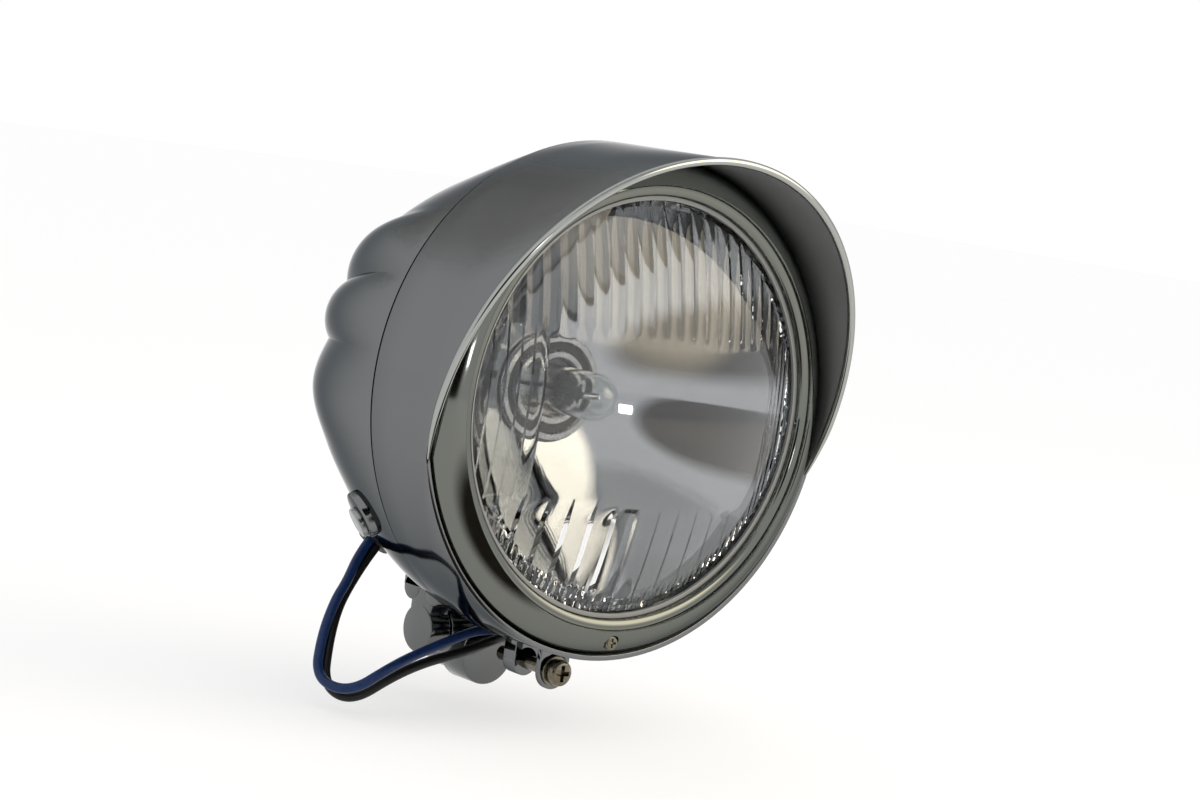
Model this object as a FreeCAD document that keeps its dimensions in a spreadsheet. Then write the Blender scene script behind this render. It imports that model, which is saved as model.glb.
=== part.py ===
import FreeCAD, Part
import math
import os

import Sketcher
from FreeCAD import Placement, Rotation, Vector

# Motorbike spotlight with a peaked trim ring, a fluted shell and a tilting bottom mount.
# Millimetres. The beam points along -Y and +Z is up. The origin is in the middle of the
# mouth of the fixing thread. The lamp itself is drawn about its own axis, with zero at
# the front edge of the rim, and is then set back and raised to its place on the mount.

# Driving sizes
SIZES = {
    # How far the fixing thread's mouth lies behind the seam of ring and shell
    "mount_behind": 39.0,
    # Trim ring with its peak
    "ring_radius": 60.0,
    "ring_wall": 1.2,
    "seam_depth": 25.0,
    "shoulder_depth": 4.5,
    "shoulder_step": 1.4,
    "rim_inset": 7.8,
    "rim_round": 9.0,
    "bead_step": 0.9,
    "opening_inset": 2.8,
    "lip_depth": 2.6,
    "peak_centre": 0.2,
    "peak_slope": 0.306,
    "lip_bead": 0.95,
    # Glass, seal and reflector
    "seat_gap": 0.1,
    "gasket_width": 2.2,
    "gasket_thick": 0.8,
    "glass_thick": 3.0,
    "glass_edge": 3.4,
    "glass_dome": 127.0,
    "glass_play": 0.4,
    "flange_thick": 1.0,
    "flange_width": 2.6,
    "bowl_focus": 19.2,
    "bowl_wall": 1.0,
    "bowl_hole": 13.0,
    # Bulb and its holder
    "holder_bore": 7.0,
    "holder_length": 5.0,
    "bulb_radius": 5.6,
    "bulb_length": 25.0,
    "bulb_wall": 0.8,
    "cap_radius": 11.0,
    "cap_thick": 1.2,
    "bulb_base_radius": 6.5,
    "bulb_base_length": 7.0,
    "filament_radius": 0.8,
    "filament_length": 5.0,
    "filament_reach": 18.0,
    "post_radius": 0.4,
    "spring_wire": 0.6,
    # Clips that hold the glass and reflector in the ring
    "clip_width": 8.0,
    "clip_thick": 0.8,
    "clip_length": 5.0,
    "clip_play": 1.0,
    # Rear shell
    "shell_step": 0.5,
    "shell_depth": 68.8,
    "shell_power": 1.6,
    "shell_wall": 1.5,
    "lobe_height": 3.0,
    "belly_bulge": 3.0,
    "top_recess": 3.5,
    "spigot_gap": 0.9,
    "spigot_play": 0.6,
    # Plugged side boss
    "boss_turn": 125.0,
    "boss_behind": 15.0,
    "boss_radius": 5.8,
    "boss_rise": 1.7,
    "plug_radius": 3.7,
    "plug_thick": 1.2,
    "plug_shank": 2.5,
    "plug_shift": 1.4,
    # Clamp screw under the ring
    "clamp_below": 6.0,
    "clamp_radius": 1.75,
    "clamp_head": 3.6,
    "clamp_head_height": 2.6,
    "clamp_reach": 21.0,
    "clamp_cross": 1.3,
    "clamp_cross_span": 4.6,
    "clamp_cross_depth": 1.5,
    "washer_radius": 4.2,
    "washer_thick": 0.8,
    "tab_ahead": 3.2,
    "tab_thick": 1.5,
    "tab_width": 9.0,
    "lug_behind": 6.0,
    "lug_thick": 4.5,
    "lug_radius": 3.6,
    "hole_play": 0.15,
    # Small screw in the rim
    "rim_screw_head": 1.7,
    "rim_screw_shank": 1.0,
    "rim_cross": 0.5,
    "rim_cross_span": 2.2,
    "rim_cross_depth": 0.5,
    "rim_screw_inset": 5.0,
    # Mount knuckle
    "pivot_behind": 28.0,
    "pivot_below": 3.2,
    "barrel_below": 4.7,
    "ear_radius": 5.85,
    "ear_outside": 17.0,
    "ear_thick": 5.9,
    "friction_thick": 0.5,
    "pivot_radius": 2.5,
    "pivot_play": 0.08,
    "pivot_head": 4.2,
    "pivot_head_height": 4.5,
    "seat_reach": 8.0,
    "barrel_radius": 7.8,
    "barrel_behind": 20.5,
    "barrel_length": 9.5,
    "hub_radius": 6.5,
    "thread_radius": 3.4,
    "thread_length": 7.6,
    "pad_width": 9.0,
    "pad_span": 8.7,
    "pad_round": 3.2,
    "pad_sink": 6.3,
    "foot_bolt": 3.0,
    "foot_bolt_head": 5.0,
    "foot_bolt_grip": 7.0,
    # Leads
    "lead_diameter": 2.4,
    "lead_straight": 4.5,
    "grommet_turn": 143.0,
    "grommet_behind": 30.0,
    "grommet_radius": 4.2,
    "grommet_rise": 2.0,
    "grommet_lip": 1.2,
    "sleeve_radius": 2.2,
    "sleeve_length": 18.0,
    "inner_straight": 7.0,
    "inner_back": 13.0,
    "inner_low": 21.0,
    "tail_back": 12.0,
    "tail_low": 8.0,
    "tail_straight": 6.0,
}

doc = FreeCAD.newDocument("spotlight")
sheet = doc.addObject("Spreadsheet::Sheet", "Sizes")
for row, (name, number) in enumerate(SIZES.items(), 1):
    sheet.set(f"A{row}", name)
    sheet.set(f"B{row}", str(number))
    sheet.setAlias(f"B{row}", name)
doc.recompute()


class Size:
    """A size of the sheet, or a sum of them, as a number and as the expression behind it."""

    def __init__(self, value, text):
        self.value = value
        self.text = text

    def __add__(self, other):
        other = as_size(other)
        return Size(self.value + other.value, f"({self.text} + {other.text})")

    def __sub__(self, other):
        other = as_size(other)
        return Size(self.value - other.value, f"({self.text} - {other.text})")

    def __mul__(self, factor):
        factor = as_size(factor)
        return Size(self.value * factor.value, f"({self.text} * {factor.text})")

    def __neg__(self):
        return Size(-self.value, f"(-{self.text})")


def as_size(number):
    """A plain number as a Size; a Size is left as it is."""
    if isinstance(number, Size):
        return number
    return Size(float(number), f"({float(number)})")


def size(name):
    """The sheet's value under this name."""
    return Size(float(sheet.get(name)), f"Sizes.{name}")


def number(name):
    """The sheet's value as a plain number."""
    return float(sheet.get(name))


# Sizes that follow from the ring's radius and from its seam with the shell
ring = size("ring_radius")
wall = size("ring_wall")
rim = ring - size("rim_inset")
opening = rim - size("opening_inset")
rim_screw_drop = ring - size("rim_screw_inset")
clamp_drop = ring + size("clamp_below")
shell = ring - size("shell_step")
pad_drop = shell - size("pad_sink")
pivot_drop = shell + size("pivot_below")
axis_height = pivot_drop + size("barrel_below")
seam = size("seam_depth")
rim_to_mount = seam + size("mount_behind")
lug_depth = seam + size("lug_behind")
boss_depth = seam + size("boss_behind")
grommet_depth = seam + size("grommet_behind")
pivot_depth = seam + size("pivot_behind")
barrel_front = seam + size("barrel_behind")

pieces = []


def keep(shape_object, label):
    """Name a finished sub-part and put it on the list that is written out."""
    shape_object.Label = label
    pieces.append(shape_object)
    return shape_object


# Places in the lamp's own frame, moved to the part's frame
def along(depth):
    return as_size(depth) - rim_to_mount


def height(level):
    return as_size(level) + axis_height


LAMP_PLACE = Placement(Vector(0, along(0).value, height(0).value), Rotation())
clamp_level = height(-clamp_drop)
rim_screw_level = height(-rim_screw_drop)


# Turned pieces: a closed outline on the YZ plane, turned about the lamp axis
def arc_middle(start, end, radius):
    """The middle of the arc from start to end; a negative radius bulges to the other side."""
    chord = end - start
    half = chord.Length / 2
    rise = abs(radius) - math.sqrt(radius * radius - half * half)
    side = Vector(-chord.y, chord.x, 0).normalize()
    return start + chord * 0.5 + side * math.copysign(rise, radius)


def pin_point(sketch, geometry, end, corner):
    """Tie one end of an edge to its two sizes."""
    for kind, axis, measure in (("DistanceX", -2, corner[0]), ("DistanceY", -1, corner[1])):
        if abs(measure.value) < 1e-9:
            sketch.addConstraint(Sketcher.Constraint("PointOnObject", geometry, end, axis))
            continue
        index = sketch.addConstraint(Sketcher.Constraint(kind, -1, 1, geometry, end, measure.value))
        sketch.setExpression(f"Constraints[{index}]", measure.text)


def closed_outline(body, name, corners):
    """A sketch of (along, out) corners; a third value is the radius of the arc to the next corner."""
    sketch = body.newObject("Sketcher::SketchObject", name)
    plane = [item for item in body.Origin.OriginFeatures if item.Role == "YZ_Plane"][0]
    sketch.AttachmentSupport = [(plane, "")]
    sketch.MapMode = "FlatFace"
    corners = [tuple(as_size(value) for value in corner) for corner in corners]
    spots = [Vector(corner[0].value, corner[1].value, 0) for corner in corners]
    ends = []
    for index, corner in enumerate(corners):
        start, finish = spots[index], spots[(index + 1) % len(spots)]
        if len(corner) == 3:
            middle = arc_middle(start, finish, corner[2].value)
            edge = sketch.addGeometry(Part.Arc(start, middle, finish), False)
            first = 1 if (sketch.getPoint(edge, 1) - start).Length < 1e-6 else 2
        else:
            edge = sketch.addGeometry(Part.LineSegment(start, finish), False)
            first = 1
        ends.append((edge, first))
    for index, (edge, first) in enumerate(ends):
        following, begin = ends[(index + 1) % len(ends)]
        sketch.addConstraint(Sketcher.Constraint("Coincident", edge, 3 - first, following, begin))
    for (edge, first), corner in zip(ends, corners):
        pin_point(sketch, edge, first, corner)
        if len(corner) == 3:
            reach = abs(corner[2].value)
            rule = sketch.addConstraint(Sketcher.Constraint("Radius", edge, reach))
            sketch.setExpression(f"Constraints[{rule}]", f"abs({corner[2].text})")
    return sketch


def turned(name, corners):
    """A body of revolution about the lamp axis."""
    body = doc.addObject("PartDesign::Body", name)
    sketch = closed_outline(body, name + "_outline", corners)
    turn = body.newObject("PartDesign::Revolution", name + "_turn")
    turn.Profile = sketch
    turn.ReferenceAxis = (sketch, ["H_Axis"])
    turn.Angle = 360
    body.setExpression("Placement.Base.y", along(0).text)
    body.setExpression("Placement.Base.z", height(0).text)
    body.Placement = LAMP_PLACE
    return body


# Plain solids, placed in the part's frame
def put(solid, spot, turn=None):
    """Place a solid at three sizes, with an optional turn."""
    spot = [as_size(value) for value in spot]
    solid.Placement = Placement(Vector(*[value.value for value in spot]), turn or Rotation())
    for letter, value in zip("xyz", spot):
        solid.setExpression(f"Placement.Base.{letter}", value.text)
    return solid


TO_X = Rotation(Vector(0, 0, 1), Vector(1, 0, 0))
TO_Y = Rotation(Vector(0, 0, 1), Vector(0, 1, 0))


def rod(name, radius, length, spot, turn=None):
    """A cylinder from its start spot."""
    solid = doc.addObject("Part::Cylinder", name)
    solid.setExpression("Radius", as_size(radius).text)
    solid.setExpression("Height", as_size(length).text)
    return put(solid, spot, turn)


def block(name, lengths, spot, turn=None):
    """A box from its lowest corner."""
    solid = doc.addObject("Part::Box", name)
    for side, measure in zip(("Length", "Width", "Height"), lengths):
        solid.setExpression(side, as_size(measure).text)
    return put(solid, spot, turn)


def six_sided(name, radius, length, spot, turn=None):
    """A hexagon prism, by the radius to its corners."""
    solid = doc.addObject("Part::Prism", name)
    solid.Polygon = 6
    solid.setExpression("Circumradius", as_size(radius).text)
    solid.setExpression("Height", as_size(length).text)
    return put(solid, spot, turn)


def joined(name, solids):
    result = doc.addObject("Part::MultiFuse", name)
    result.Shapes = solids
    result.Refine = False
    return result


def without(name, solid, tools):
    """The solid less its tools."""
    result = doc.addObject("Part::Cut", name)
    result.Base = solid
    result.Tool = tools[0] if len(tools) == 1 else joined(name + "_tools", tools)
    return result


def shaped(name, shape, place=LAMP_PLACE):
    """A shape worked out from the sheet's numbers, drawn in the lamp's frame."""
    feature = doc.addObject("Part::Feature", name)
    feature.Shape = shape
    feature.Placement = place
    return feature


def cross_recess(name, screw, front):
    """Two slots across a screw head that faces -Y, cut in from its front."""
    width, span = size(screw + "_cross"), size(screw + "_cross_span")
    depth = size(screw + "_cross_depth")
    level = {"clamp": clamp_level, "rim": rim_screw_level}[screw]
    return [
        block(name + "_level", (span, depth, width), (-span * 0.5, front, level - width * 0.5)),
        block(name + "_upright", (width, depth, span), (-width * 0.5, front, level - span * 0.5)),
    ]


def round_wire(points, radius):
    """A round wire bent along straight runs and tangent arcs, with every arc as large as it fits."""
    edges, radii, length = [], [], 0.0
    last = points[0]
    for index in range(1, len(points) - 1):
        before, corner, after = points[index - 1], points[index], points[index + 1]
        back, ahead = before - corner, after - corner
        turn = math.pi - back.getAngle(ahead)
        cut = 0.45 * min(back.Length, ahead.Length)
        radii.append(cut / math.tan(turn / 2))
        start = corner + back * (cut / back.Length)
        finish = corner + ahead * (cut / ahead.Length)
        bisector = (back / back.Length + ahead / ahead.Length).normalize()
        inside = radii[-1] * (1 / math.cos(turn / 2) - 1)
        edges.append(Part.LineSegment(last, start).toShape())
        edges.append(Part.Arc(start, corner + bisector * inside, finish).toShape())
        length += (start - last).Length + radii[-1] * turn
        last = finish
    edges.append(Part.LineSegment(last, points[-1]).toShape())
    length += (points[-1] - last).Length
    path = Part.Wire(edges)
    section = Part.Wire(Part.Circle(points[0], points[1] - points[0], radius).toShape())
    tube = path.makePipeShell([section], True, False)
    return tube, length, radii


# Trim ring: a band that runs forward over the top as a peak, and a rounded rim round the glass
rim_start = ring - size("shoulder_step")
ring_body = turned("ring_band", [
    (seam, ring),
    (size("shoulder_depth"), ring),
    (size("shoulder_depth"), rim_start, size("rim_round")),
    (0, rim),
    (size("bead_step"), rim - size("bead_step") * 0.4),
    (size("bead_step"), opening + size("bead_step") * 0.4),
    (size("lip_depth"), opening),
    (size("lip_depth"), rim - wall, -size("rim_round")),
    (size("shoulder_depth") + wall, rim_start - wall),
    (size("shoulder_depth") + wall, ring - wall),
    (seam, ring - wall),
])


def peak_shape():
    """The peak: a tube cut off by a sloping plane, with a rolled bead along its edge."""
    outer, thick = ring.value, wall.value
    shoulder, centre, slope = number("shoulder_depth"), number("peak_centre"), number("peak_slope")
    bead = number("lip_bead")
    back = Vector(0, 1, 0)
    start = Vector(0, centre - slope * outer - 2 * bead, 0)
    span = shoulder + thick - start.y
    hollow = Part.makeCylinder(outer - thick, span, start, back)
    tube = Part.makeCylinder(outer, span, start, back).cut(hollow)
    low = (centre - shoulder) / slope
    far = 2 * outer
    corners = [
        Vector(-far, centre - slope * far, far),
        Vector(-far, shoulder, low),
        Vector(-far, shoulder, -far),
        Vector(-far, -far, -far),
        Vector(-far, -far, far),
    ]
    ahead = Part.Face(Part.makePolygon(corners + corners[:1])).extrude(Vector(2 * far, 0, 0))
    peak = tube.cut(ahead)
    middle = outer - thick / 2
    centre_spot = Vector(0, centre, 0)
    top = centre_spot + Vector(0, -slope * middle, middle)
    edge_curve = Part.Ellipse(top, centre_spot + Vector(middle, 0, 0), centre_spot)
    reach = math.acos(low / middle)
    lip = Part.ArcOfEllipse(edge_curve, -reach, reach).toShape()
    first, tangent = lip.valueAt(lip.FirstParameter), lip.tangentAt(lip.FirstParameter)
    section = Part.Wire(Part.Circle(first, tangent, bead).toShape())
    rolled = Part.Wire([lip]).makePipeShell([section], True, True)
    ends = [Part.makeSphere(bead, lip.valueAt(value)) for value in lip.ParameterRange]
    return peak.fuse([rolled] + ends)


ring_peak = shaped("ring_peak", peak_shape())
tab_half = size("tab_width") * 0.5
tab_back = along(seam - size("tab_ahead"))
tab_front = tab_back - size("tab_thick")
tab = joined("ring_tab", [
    block("tab_plate", (size("tab_width"), size("tab_thick"), clamp_drop - ring + wall),
          (-tab_half, tab_front, clamp_level)),
    rod("tab_end", tab_half, size("tab_thick"), (0, tab_front, clamp_level), TO_Y),
])
clamp_bore = size("clamp_radius") + size("hole_play")
rim_drill = (0, along(-size("rim_round")), rim_screw_level)
ring_holes = [
    rod("tab_hole", clamp_bore, size("tab_thick") * 3, (0, tab_front - size("tab_thick"), clamp_level), TO_Y),
    rod("rim_screw_hole", size("rim_screw_shank") + size("hole_play"), seam, rim_drill, TO_Y),
    rod("rim_screw_seat", size("rim_screw_head") + size("hole_play"), size("rim_round") + size("bead_step"),
        rim_drill, TO_Y),
]
keep(without("ring_cut", joined("ring_whole", [ring_body, ring_peak, tab]), ring_holes), "trim_ring")

# Small screw in the rim
rim_seat = along(size("bead_step"))
rim_screw_front = rim_seat - size("bead_step")
rim_screw_whole = joined("rim_screw_whole", [
    rod("rim_screw_top", size("rim_screw_head"), size("bead_step"),
        (0, rim_screw_front, rim_screw_level), TO_Y),
    rod("rim_screw_stem", size("rim_screw_shank"), size("gasket_width"),
        (0, rim_seat, rim_screw_level), TO_Y),
])
rim_recess = cross_recess("rim_recess", "rim", rim_screw_front)
keep(without("rim_screw_cut", rim_screw_whole, rim_recess), "rim_screw")

# Seal, glass and reflector, stacked behind the rim's lip
gasket_front = size("lip_depth") + size("seat_gap")
glass_out = rim - wall - size("glass_play")
keep(turned("gasket", [
    (gasket_front, glass_out - size("gasket_width")),
    (gasket_front, glass_out),
    (gasket_front + size("gasket_thick"), glass_out),
    (gasket_front + size("gasket_thick"), glass_out - size("gasket_width")),
]), "lens_gasket")

glass_front = gasket_front + size("gasket_thick")
glass_back = glass_front + size("glass_edge")
dome_edge = glass_out - size("gasket_width")
bowl_edge = glass_out - size("flange_width")


def dome_rise(radius, edge):
    """How far a dome of this radius stands out over its edge circle, as a size."""
    text = f"({radius.text} - sqrt({radius.text} * {radius.text} - {edge.text} * {edge.text}))"
    return Size(radius.value - math.sqrt(radius.value ** 2 - edge.value ** 2), text)


dome = size("glass_dome")
dome_inside = dome - size("glass_thick")
inner_edge = dome_edge - size("glass_thick") * 0.5
keep(turned("glass", [
    (glass_front - dome_rise(dome, dome_edge), 0, dome),
    (glass_front, dome_edge),
    (glass_front, glass_out),
    (glass_back, glass_out),
    (glass_back, inner_edge, -dome_inside),
    (glass_back - dome_rise(dome_inside, inner_edge), 0),
]), "lens_glass")

flange_front = glass_back + size("seat_gap")


def bowl_depth(radius):
    """Depth of the bowl's inner face at this radius."""
    edge_depth = flange_front.value + bowl_edge.value ** 2 / (4 * number("bowl_focus"))
    return edge_depth - radius ** 2 / (4 * number("bowl_focus"))


def bowl_shape():
    """A parabolic bowl with a flat flange in front and a round hole at its bottom."""
    focus, thick = number("bowl_focus"), number("bowl_wall")
    edge, hole = bowl_edge.value, number("bowl_hole")
    flat = flange_front.value + number("flange_thick")
    outer_edge = math.sqrt(4 * focus * (bowl_depth(0) + thick - flat))

    def curve(back, from_radius, to_radius):
        shares = [count / 8 for count in range(9)]
        radii = [from_radius + (to_radius - from_radius) * share for share in shares]
        line = Part.BSplineCurve()
        line.interpolate([Vector(0, bowl_depth(radius) + back, radius) for radius in radii])
        return line.toShape()

    corners = [
        Vector(0, bowl_depth(edge), edge),
        Vector(0, flange_front.value, glass_out.value),
        Vector(0, flat, glass_out.value),
        Vector(0, bowl_depth(outer_edge) + thick, outer_edge),
    ]
    flange = [Part.LineSegment(start, end).toShape() for start, end in zip(corners, corners[1:])]
    hole_front = Vector(0, bowl_depth(hole), hole)
    hole_edge = Part.LineSegment(hole_front + Vector(0, thick, 0), hole_front)
    edges = flange + [curve(thick, outer_edge, hole), hole_edge.toShape(), curve(0, hole, edge)]
    return Part.Face(Part.Wire(edges)).revolve(Vector(), Vector(0, 1, 0), 360)


keep(shaped("reflector_bowl", bowl_shape()), "reflector")

# Bulb holder and bulb on the axis
seat_depth = as_size(bowl_depth(number("bowl_hole"))) + size("bowl_wall")
holder_back = seat_depth + size("holder_length")
keep(turned("holder", [
    (seat_depth - size("bowl_wall") * 2, size("holder_bore")),
    (seat_depth - size("bowl_wall") * 2, size("bowl_hole") - size("seat_gap")),
    (seat_depth, size("bowl_hole") - size("seat_gap")),
    (seat_depth, size("bowl_hole") + size("bowl_wall") * 2),
    (holder_back, size("bowl_hole") + size("bowl_wall") * 2),
    (holder_back, size("cap_radius") + size("seat_gap")),
    (holder_back - size("cap_thick"), size("cap_radius") + size("seat_gap")),
    (holder_back - size("cap_thick"), size("holder_bore")),
]), "bulb_holder")

cap_front = holder_back - size("cap_thick")
keep(turned("cap", [
    (cap_front, 0),
    (cap_front, size("cap_radius")),
    (holder_back, size("cap_radius")),
    (holder_back, 0),
]), "bulb_flange")
bulb_tip = cap_front - size("bulb_length")
bulb = size("bulb_radius")
bulb_inner = bulb - size("bulb_wall")
keep(turned("bulb", [
    (bulb_tip, 0, bulb),
    (bulb_tip + bulb, bulb),
    (cap_front, bulb),
    (cap_front, bulb_inner),
    (bulb_tip + bulb, bulb_inner, -bulb_inner),
    (bulb_tip + size("bulb_wall"), 0),
]), "bulb_glass")
keep(rod("bulb_base_rod", size("bulb_base_radius"), size("bulb_base_length"),
         (0, along(holder_back), height(0)), TO_Y), "bulb_base")
coil_depth = along(cap_front - size("filament_reach"))
coil_start = -size("filament_length") * 0.5
keep(rod("coil", size("filament_radius"), size("filament_length"),
         (coil_start, coil_depth, height(0)), TO_X), "filament")
post_reach = size("filament_reach") - size("filament_radius")
keep(joined("posts", [
    rod(f"post_{side}", size("post_radius"), post_reach,
        (size("filament_length") * share, coil_depth + size("filament_radius"), height(0)), TO_Y)
    for side, share in (("left", -0.4), ("right", 0.4))
]), "filament_posts")

# Spring wire that presses the bulb's flange into its holder
wire_radius = number("spring_wire")
spring_depth = holder_back.value + wire_radius + number("seat_gap")
spring_gap = number("bulb_base_radius") + wire_radius + 0.6
spring_reach = number("bowl_hole") + number("bowl_wall")
spring, _, _ = round_wire([
    Vector(-spring_gap, spring_depth, spring_reach),
    Vector(-spring_gap, spring_depth, -spring_gap * 0.4),
    Vector(-spring_gap * 0.45, spring_depth, -spring_gap * 1.35),
    Vector(spring_gap * 0.45, spring_depth, -spring_gap * 1.35),
    Vector(spring_gap, spring_depth, -spring_gap * 0.4),
    Vector(spring_gap, spring_depth, spring_reach),
], wire_radius)
keep(shaped("spring", spring), "bulb_spring")

# Clips between the ring's wall and the reflector's flange
clip_back = flange_front + size("flange_thick") + size("seat_gap")
clip_out = ring - wall - size("clip_play")
clip_half = size("clip_width") * 0.5
clip_in = glass_out - size("gasket_width")
clip_parts = []
for count, turn in enumerate((45, 135, 225, 315)):
    press = block(f"clip_press_{count}", (size("clip_width"), size("clip_thick"), clip_out - clip_in),
                  (-clip_half, clip_back, clip_in))
    stand = block(f"clip_stand_{count}", (size("clip_width"), size("clip_length"), size("clip_thick")),
                  (-clip_half, clip_back, clip_out - size("clip_thick") * 2))
    clip = joined(f"clip_{count}", [press, stand])
    around = Placement(Vector(), Rotation(Vector(0, 1, 0), turn))
    clip.Placement = LAMP_PLACE.multiply(around)
    clip_parts.append(clip)
clips = doc.addObject("Part::Compound", "clip_set")
clips.Links = clip_parts
keep(clips, "retaining_clips")

# Rear shell: lofted through cross sections whose lobes rise towards the back
FLUTE_TURNS = (48, 66, 84)
# Turns of the belly from its upper valley down, each with its share of the bulge
BELLY = ((97, 1.0), (112, 0.33), (126, -0.1), (150, 0.0), (180, 0.0))
SHELL_STATIONS = (0.0, 0.08, 0.2, 0.36, 0.52, 0.68, 0.82, 0.92, 0.97, 0.99)


def shell_reach(station):
    """Radius of the valleys at this share of the shell's depth."""
    return shell.value * math.sqrt(1 - station ** number("shell_power"))


def ring_point(radius, turn, depth):
    """A point at this radius, turned from the top towards -X by so many degrees."""
    angle = math.radians(turn)
    return Vector(-radius * math.sin(angle), depth, radius * math.cos(angle))


def grown(station, full_at):
    """Share of its height that a lobe has at this station, when it is full from full_at on."""
    return math.sin(math.pi * min(1.0, station / full_at) / 2)


def shell_section(station, inset, depth):
    """One cross section: a flat top, two lobes a side and a belly that bulges at its sides."""
    valley = shell_reach(station) - inset
    scale = valley / shell.value
    lobe = number("lobe_height") * 1.35 * grown(station, 0.6) * scale
    bulge = number("belly_bulge") * 1.35 * grown(station, 0.6) * scale
    dip = number("top_recess") * grown(station, 0.3) * scale

    def arc(start, rise, finish):
        middle = ring_point(valley + rise, (start + finish) / 2, depth)
        ends = ring_point(valley, start, depth), ring_point(valley, finish, depth)
        return Part.Arc(ends[0], middle, ends[1]).toShape()

    first, second, last = FLUTE_TURNS
    side = [(last, 0.0), *BELLY]
    around = side + [(360 - turn, share) for turn, share in reversed(side[:-1])]
    belly = Part.BSplineCurve()
    belly.interpolate([ring_point(valley + bulge * share, turn, depth) for turn, share in around])
    return Part.Wire([
        arc(first, lobe, second),
        arc(second, lobe, last),
        belly.toShape(),
        arc(360 - last, lobe, 360 - second),
        arc(360 - second, lobe, 360 - first),
        arc(360 - first, -dip, 360 + first),
    ])


def shell_form(inset, last):
    """The solid inside the shell's outer face, or inside its inner one."""
    deep = number("shell_depth")
    stations = [station for station in SHELL_STATIONS if station <= last]
    sections = [shell_section(value, inset, seam.value + value * deep) for value in stations]
    return Part.makeLoft(sections, True, False)


def shell_surface(turn, depth):
    """The shell's outer radius at a turn of the belly, and its outward direction."""
    station = (depth - seam.value) / number("shell_depth")
    step = 0.01
    slope = (shell_reach(station + step) - shell_reach(station)) / (step * number("shell_depth"))
    spot = ring_point(shell_reach(station), turn, depth)
    outward = ring_point(1.0, turn, -slope)
    return spot, outward.normalize()


outside = shaped("shell_outside", shell_form(0.0, 0.99))
inside = shaped("shell_inside", shell_form(number("shell_wall"), 0.97))
spigot_out = ring - wall - size("spigot_play")
spigot_front = clip_back + size("clip_length") + size("spigot_gap")
spigot = turned("spigot", [
    (spigot_front, spigot_out - size("shell_wall")),
    (spigot_front, spigot_out),
    (seam + size("spigot_play"), spigot_out),
    (seam + size("shell_wall") * 2, spigot_out - size("shell_wall") * 0.4),
    (seam + size("shell_wall") * 2, spigot_out - size("shell_wall")),
])

boss_spot, boss_way = shell_surface(number("boss_turn"), boss_depth.value)
boss_top = boss_spot + boss_way * number("boss_rise")
boss_sunk = number("boss_rise") + number("shell_wall") + number("boss_radius") * 0.35
boss = shaped("side_boss", Part.makeCylinder(number("boss_radius"), boss_sunk, boss_top, boss_way * -1))
plug_seat = boss_top + ring_point(number("plug_shift"), number("boss_turn") + 90, 0.0)
plug_bore = number("plug_shank") + number("hole_play")
plug_hole = shaped("plug_hole", Part.makeCylinder(plug_bore, boss_sunk * 2, plug_seat, boss_way * -1))
lug_rise = clamp_drop - shell + size("shell_wall") * 2
lug = joined("shell_lug", [
    block("lug_block", (size("lug_radius") * 2, size("lug_thick"), lug_rise),
          (-size("lug_radius"), along(lug_depth), clamp_level)),
    rod("lug_round", size("lug_radius"), size("lug_thick"), (0, along(lug_depth), clamp_level), TO_Y),
])
lug_hole = rod("lug_hole", clamp_bore, size("lug_thick") * 2,
               (0, along(lug_depth) - size("lug_thick") * 0.5, clamp_level), TO_Y)

grommet_spot, _ = shell_surface(number("grommet_turn"), grommet_depth.value)
grommet_way = ring_point(1.0, number("grommet_turn"), 0.0)
neck_radius = number("grommet_radius") - number("grommet_lip")
grommet_start = grommet_spot - grommet_way * number("grommet_radius")
grommet_bore = neck_radius + number("hole_play")
grommet_hole = shaped("grommet_hole", Part.makeCylinder(grommet_bore, number("grommet_radius") * 2,
                                                        grommet_start, grommet_way))

bolt_x = -(size("ear_outside") - size("ear_thick") * 0.5)
bolt_spot = (bolt_x, along(pivot_depth + size("ear_radius") * 0.5))
bolt_hole = rod("bolt_hole", size("foot_bolt") + size("hole_play"), shell,
                (*bolt_spot, height(-shell)))

shell_walls = without("shell_walls", joined("shell_outer", [outside, boss, lug]), [inside])
keep(without("shell_cut", joined("shell_whole", [shell_walls, spigot]),
             [plug_hole, lug_hole, grommet_hole, bolt_hole]), "rear_shell")

# Plug in the side boss
plug_cap = Part.makeCylinder(number("plug_radius"), number("plug_thick"), plug_seat, boss_way)
plug_stem = Part.makeCylinder(number("plug_shank"), number("boss_rise"), plug_seat, boss_way * -1)
keep(shaped("plug", plug_cap.fuse(plug_stem)), "boss_plug")

# Clamp screw with its washer, through the ring's tab into the shell's lug
washer_front = tab_front - size("washer_thick")
washer_disc = rod("washer_disc", size("washer_radius"), size("washer_thick"),
                  (0, washer_front, clamp_level), TO_Y)
washer_hole = rod("washer_hole", clamp_bore, size("washer_thick") * 3,
                  (0, washer_front - size("washer_thick"), clamp_level), TO_Y)
keep(without("washer_cut", washer_disc, [washer_hole]), "clamp_washer")
clamp_front = washer_front - size("clamp_head_height")
clamp_whole = joined("clamp_whole", [
    rod("clamp_top", size("clamp_head"), size("clamp_head_height"), (0, clamp_front, clamp_level), TO_Y),
    rod("clamp_stem", size("clamp_radius"), size("clamp_reach"), (0, washer_front, clamp_level), TO_Y),
])
clamp_recess = cross_recess("clamp_recess", "clamp", clamp_front)
keep(without("clamp_cut", clamp_whole, clamp_recess), "clamp_screw")

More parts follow.
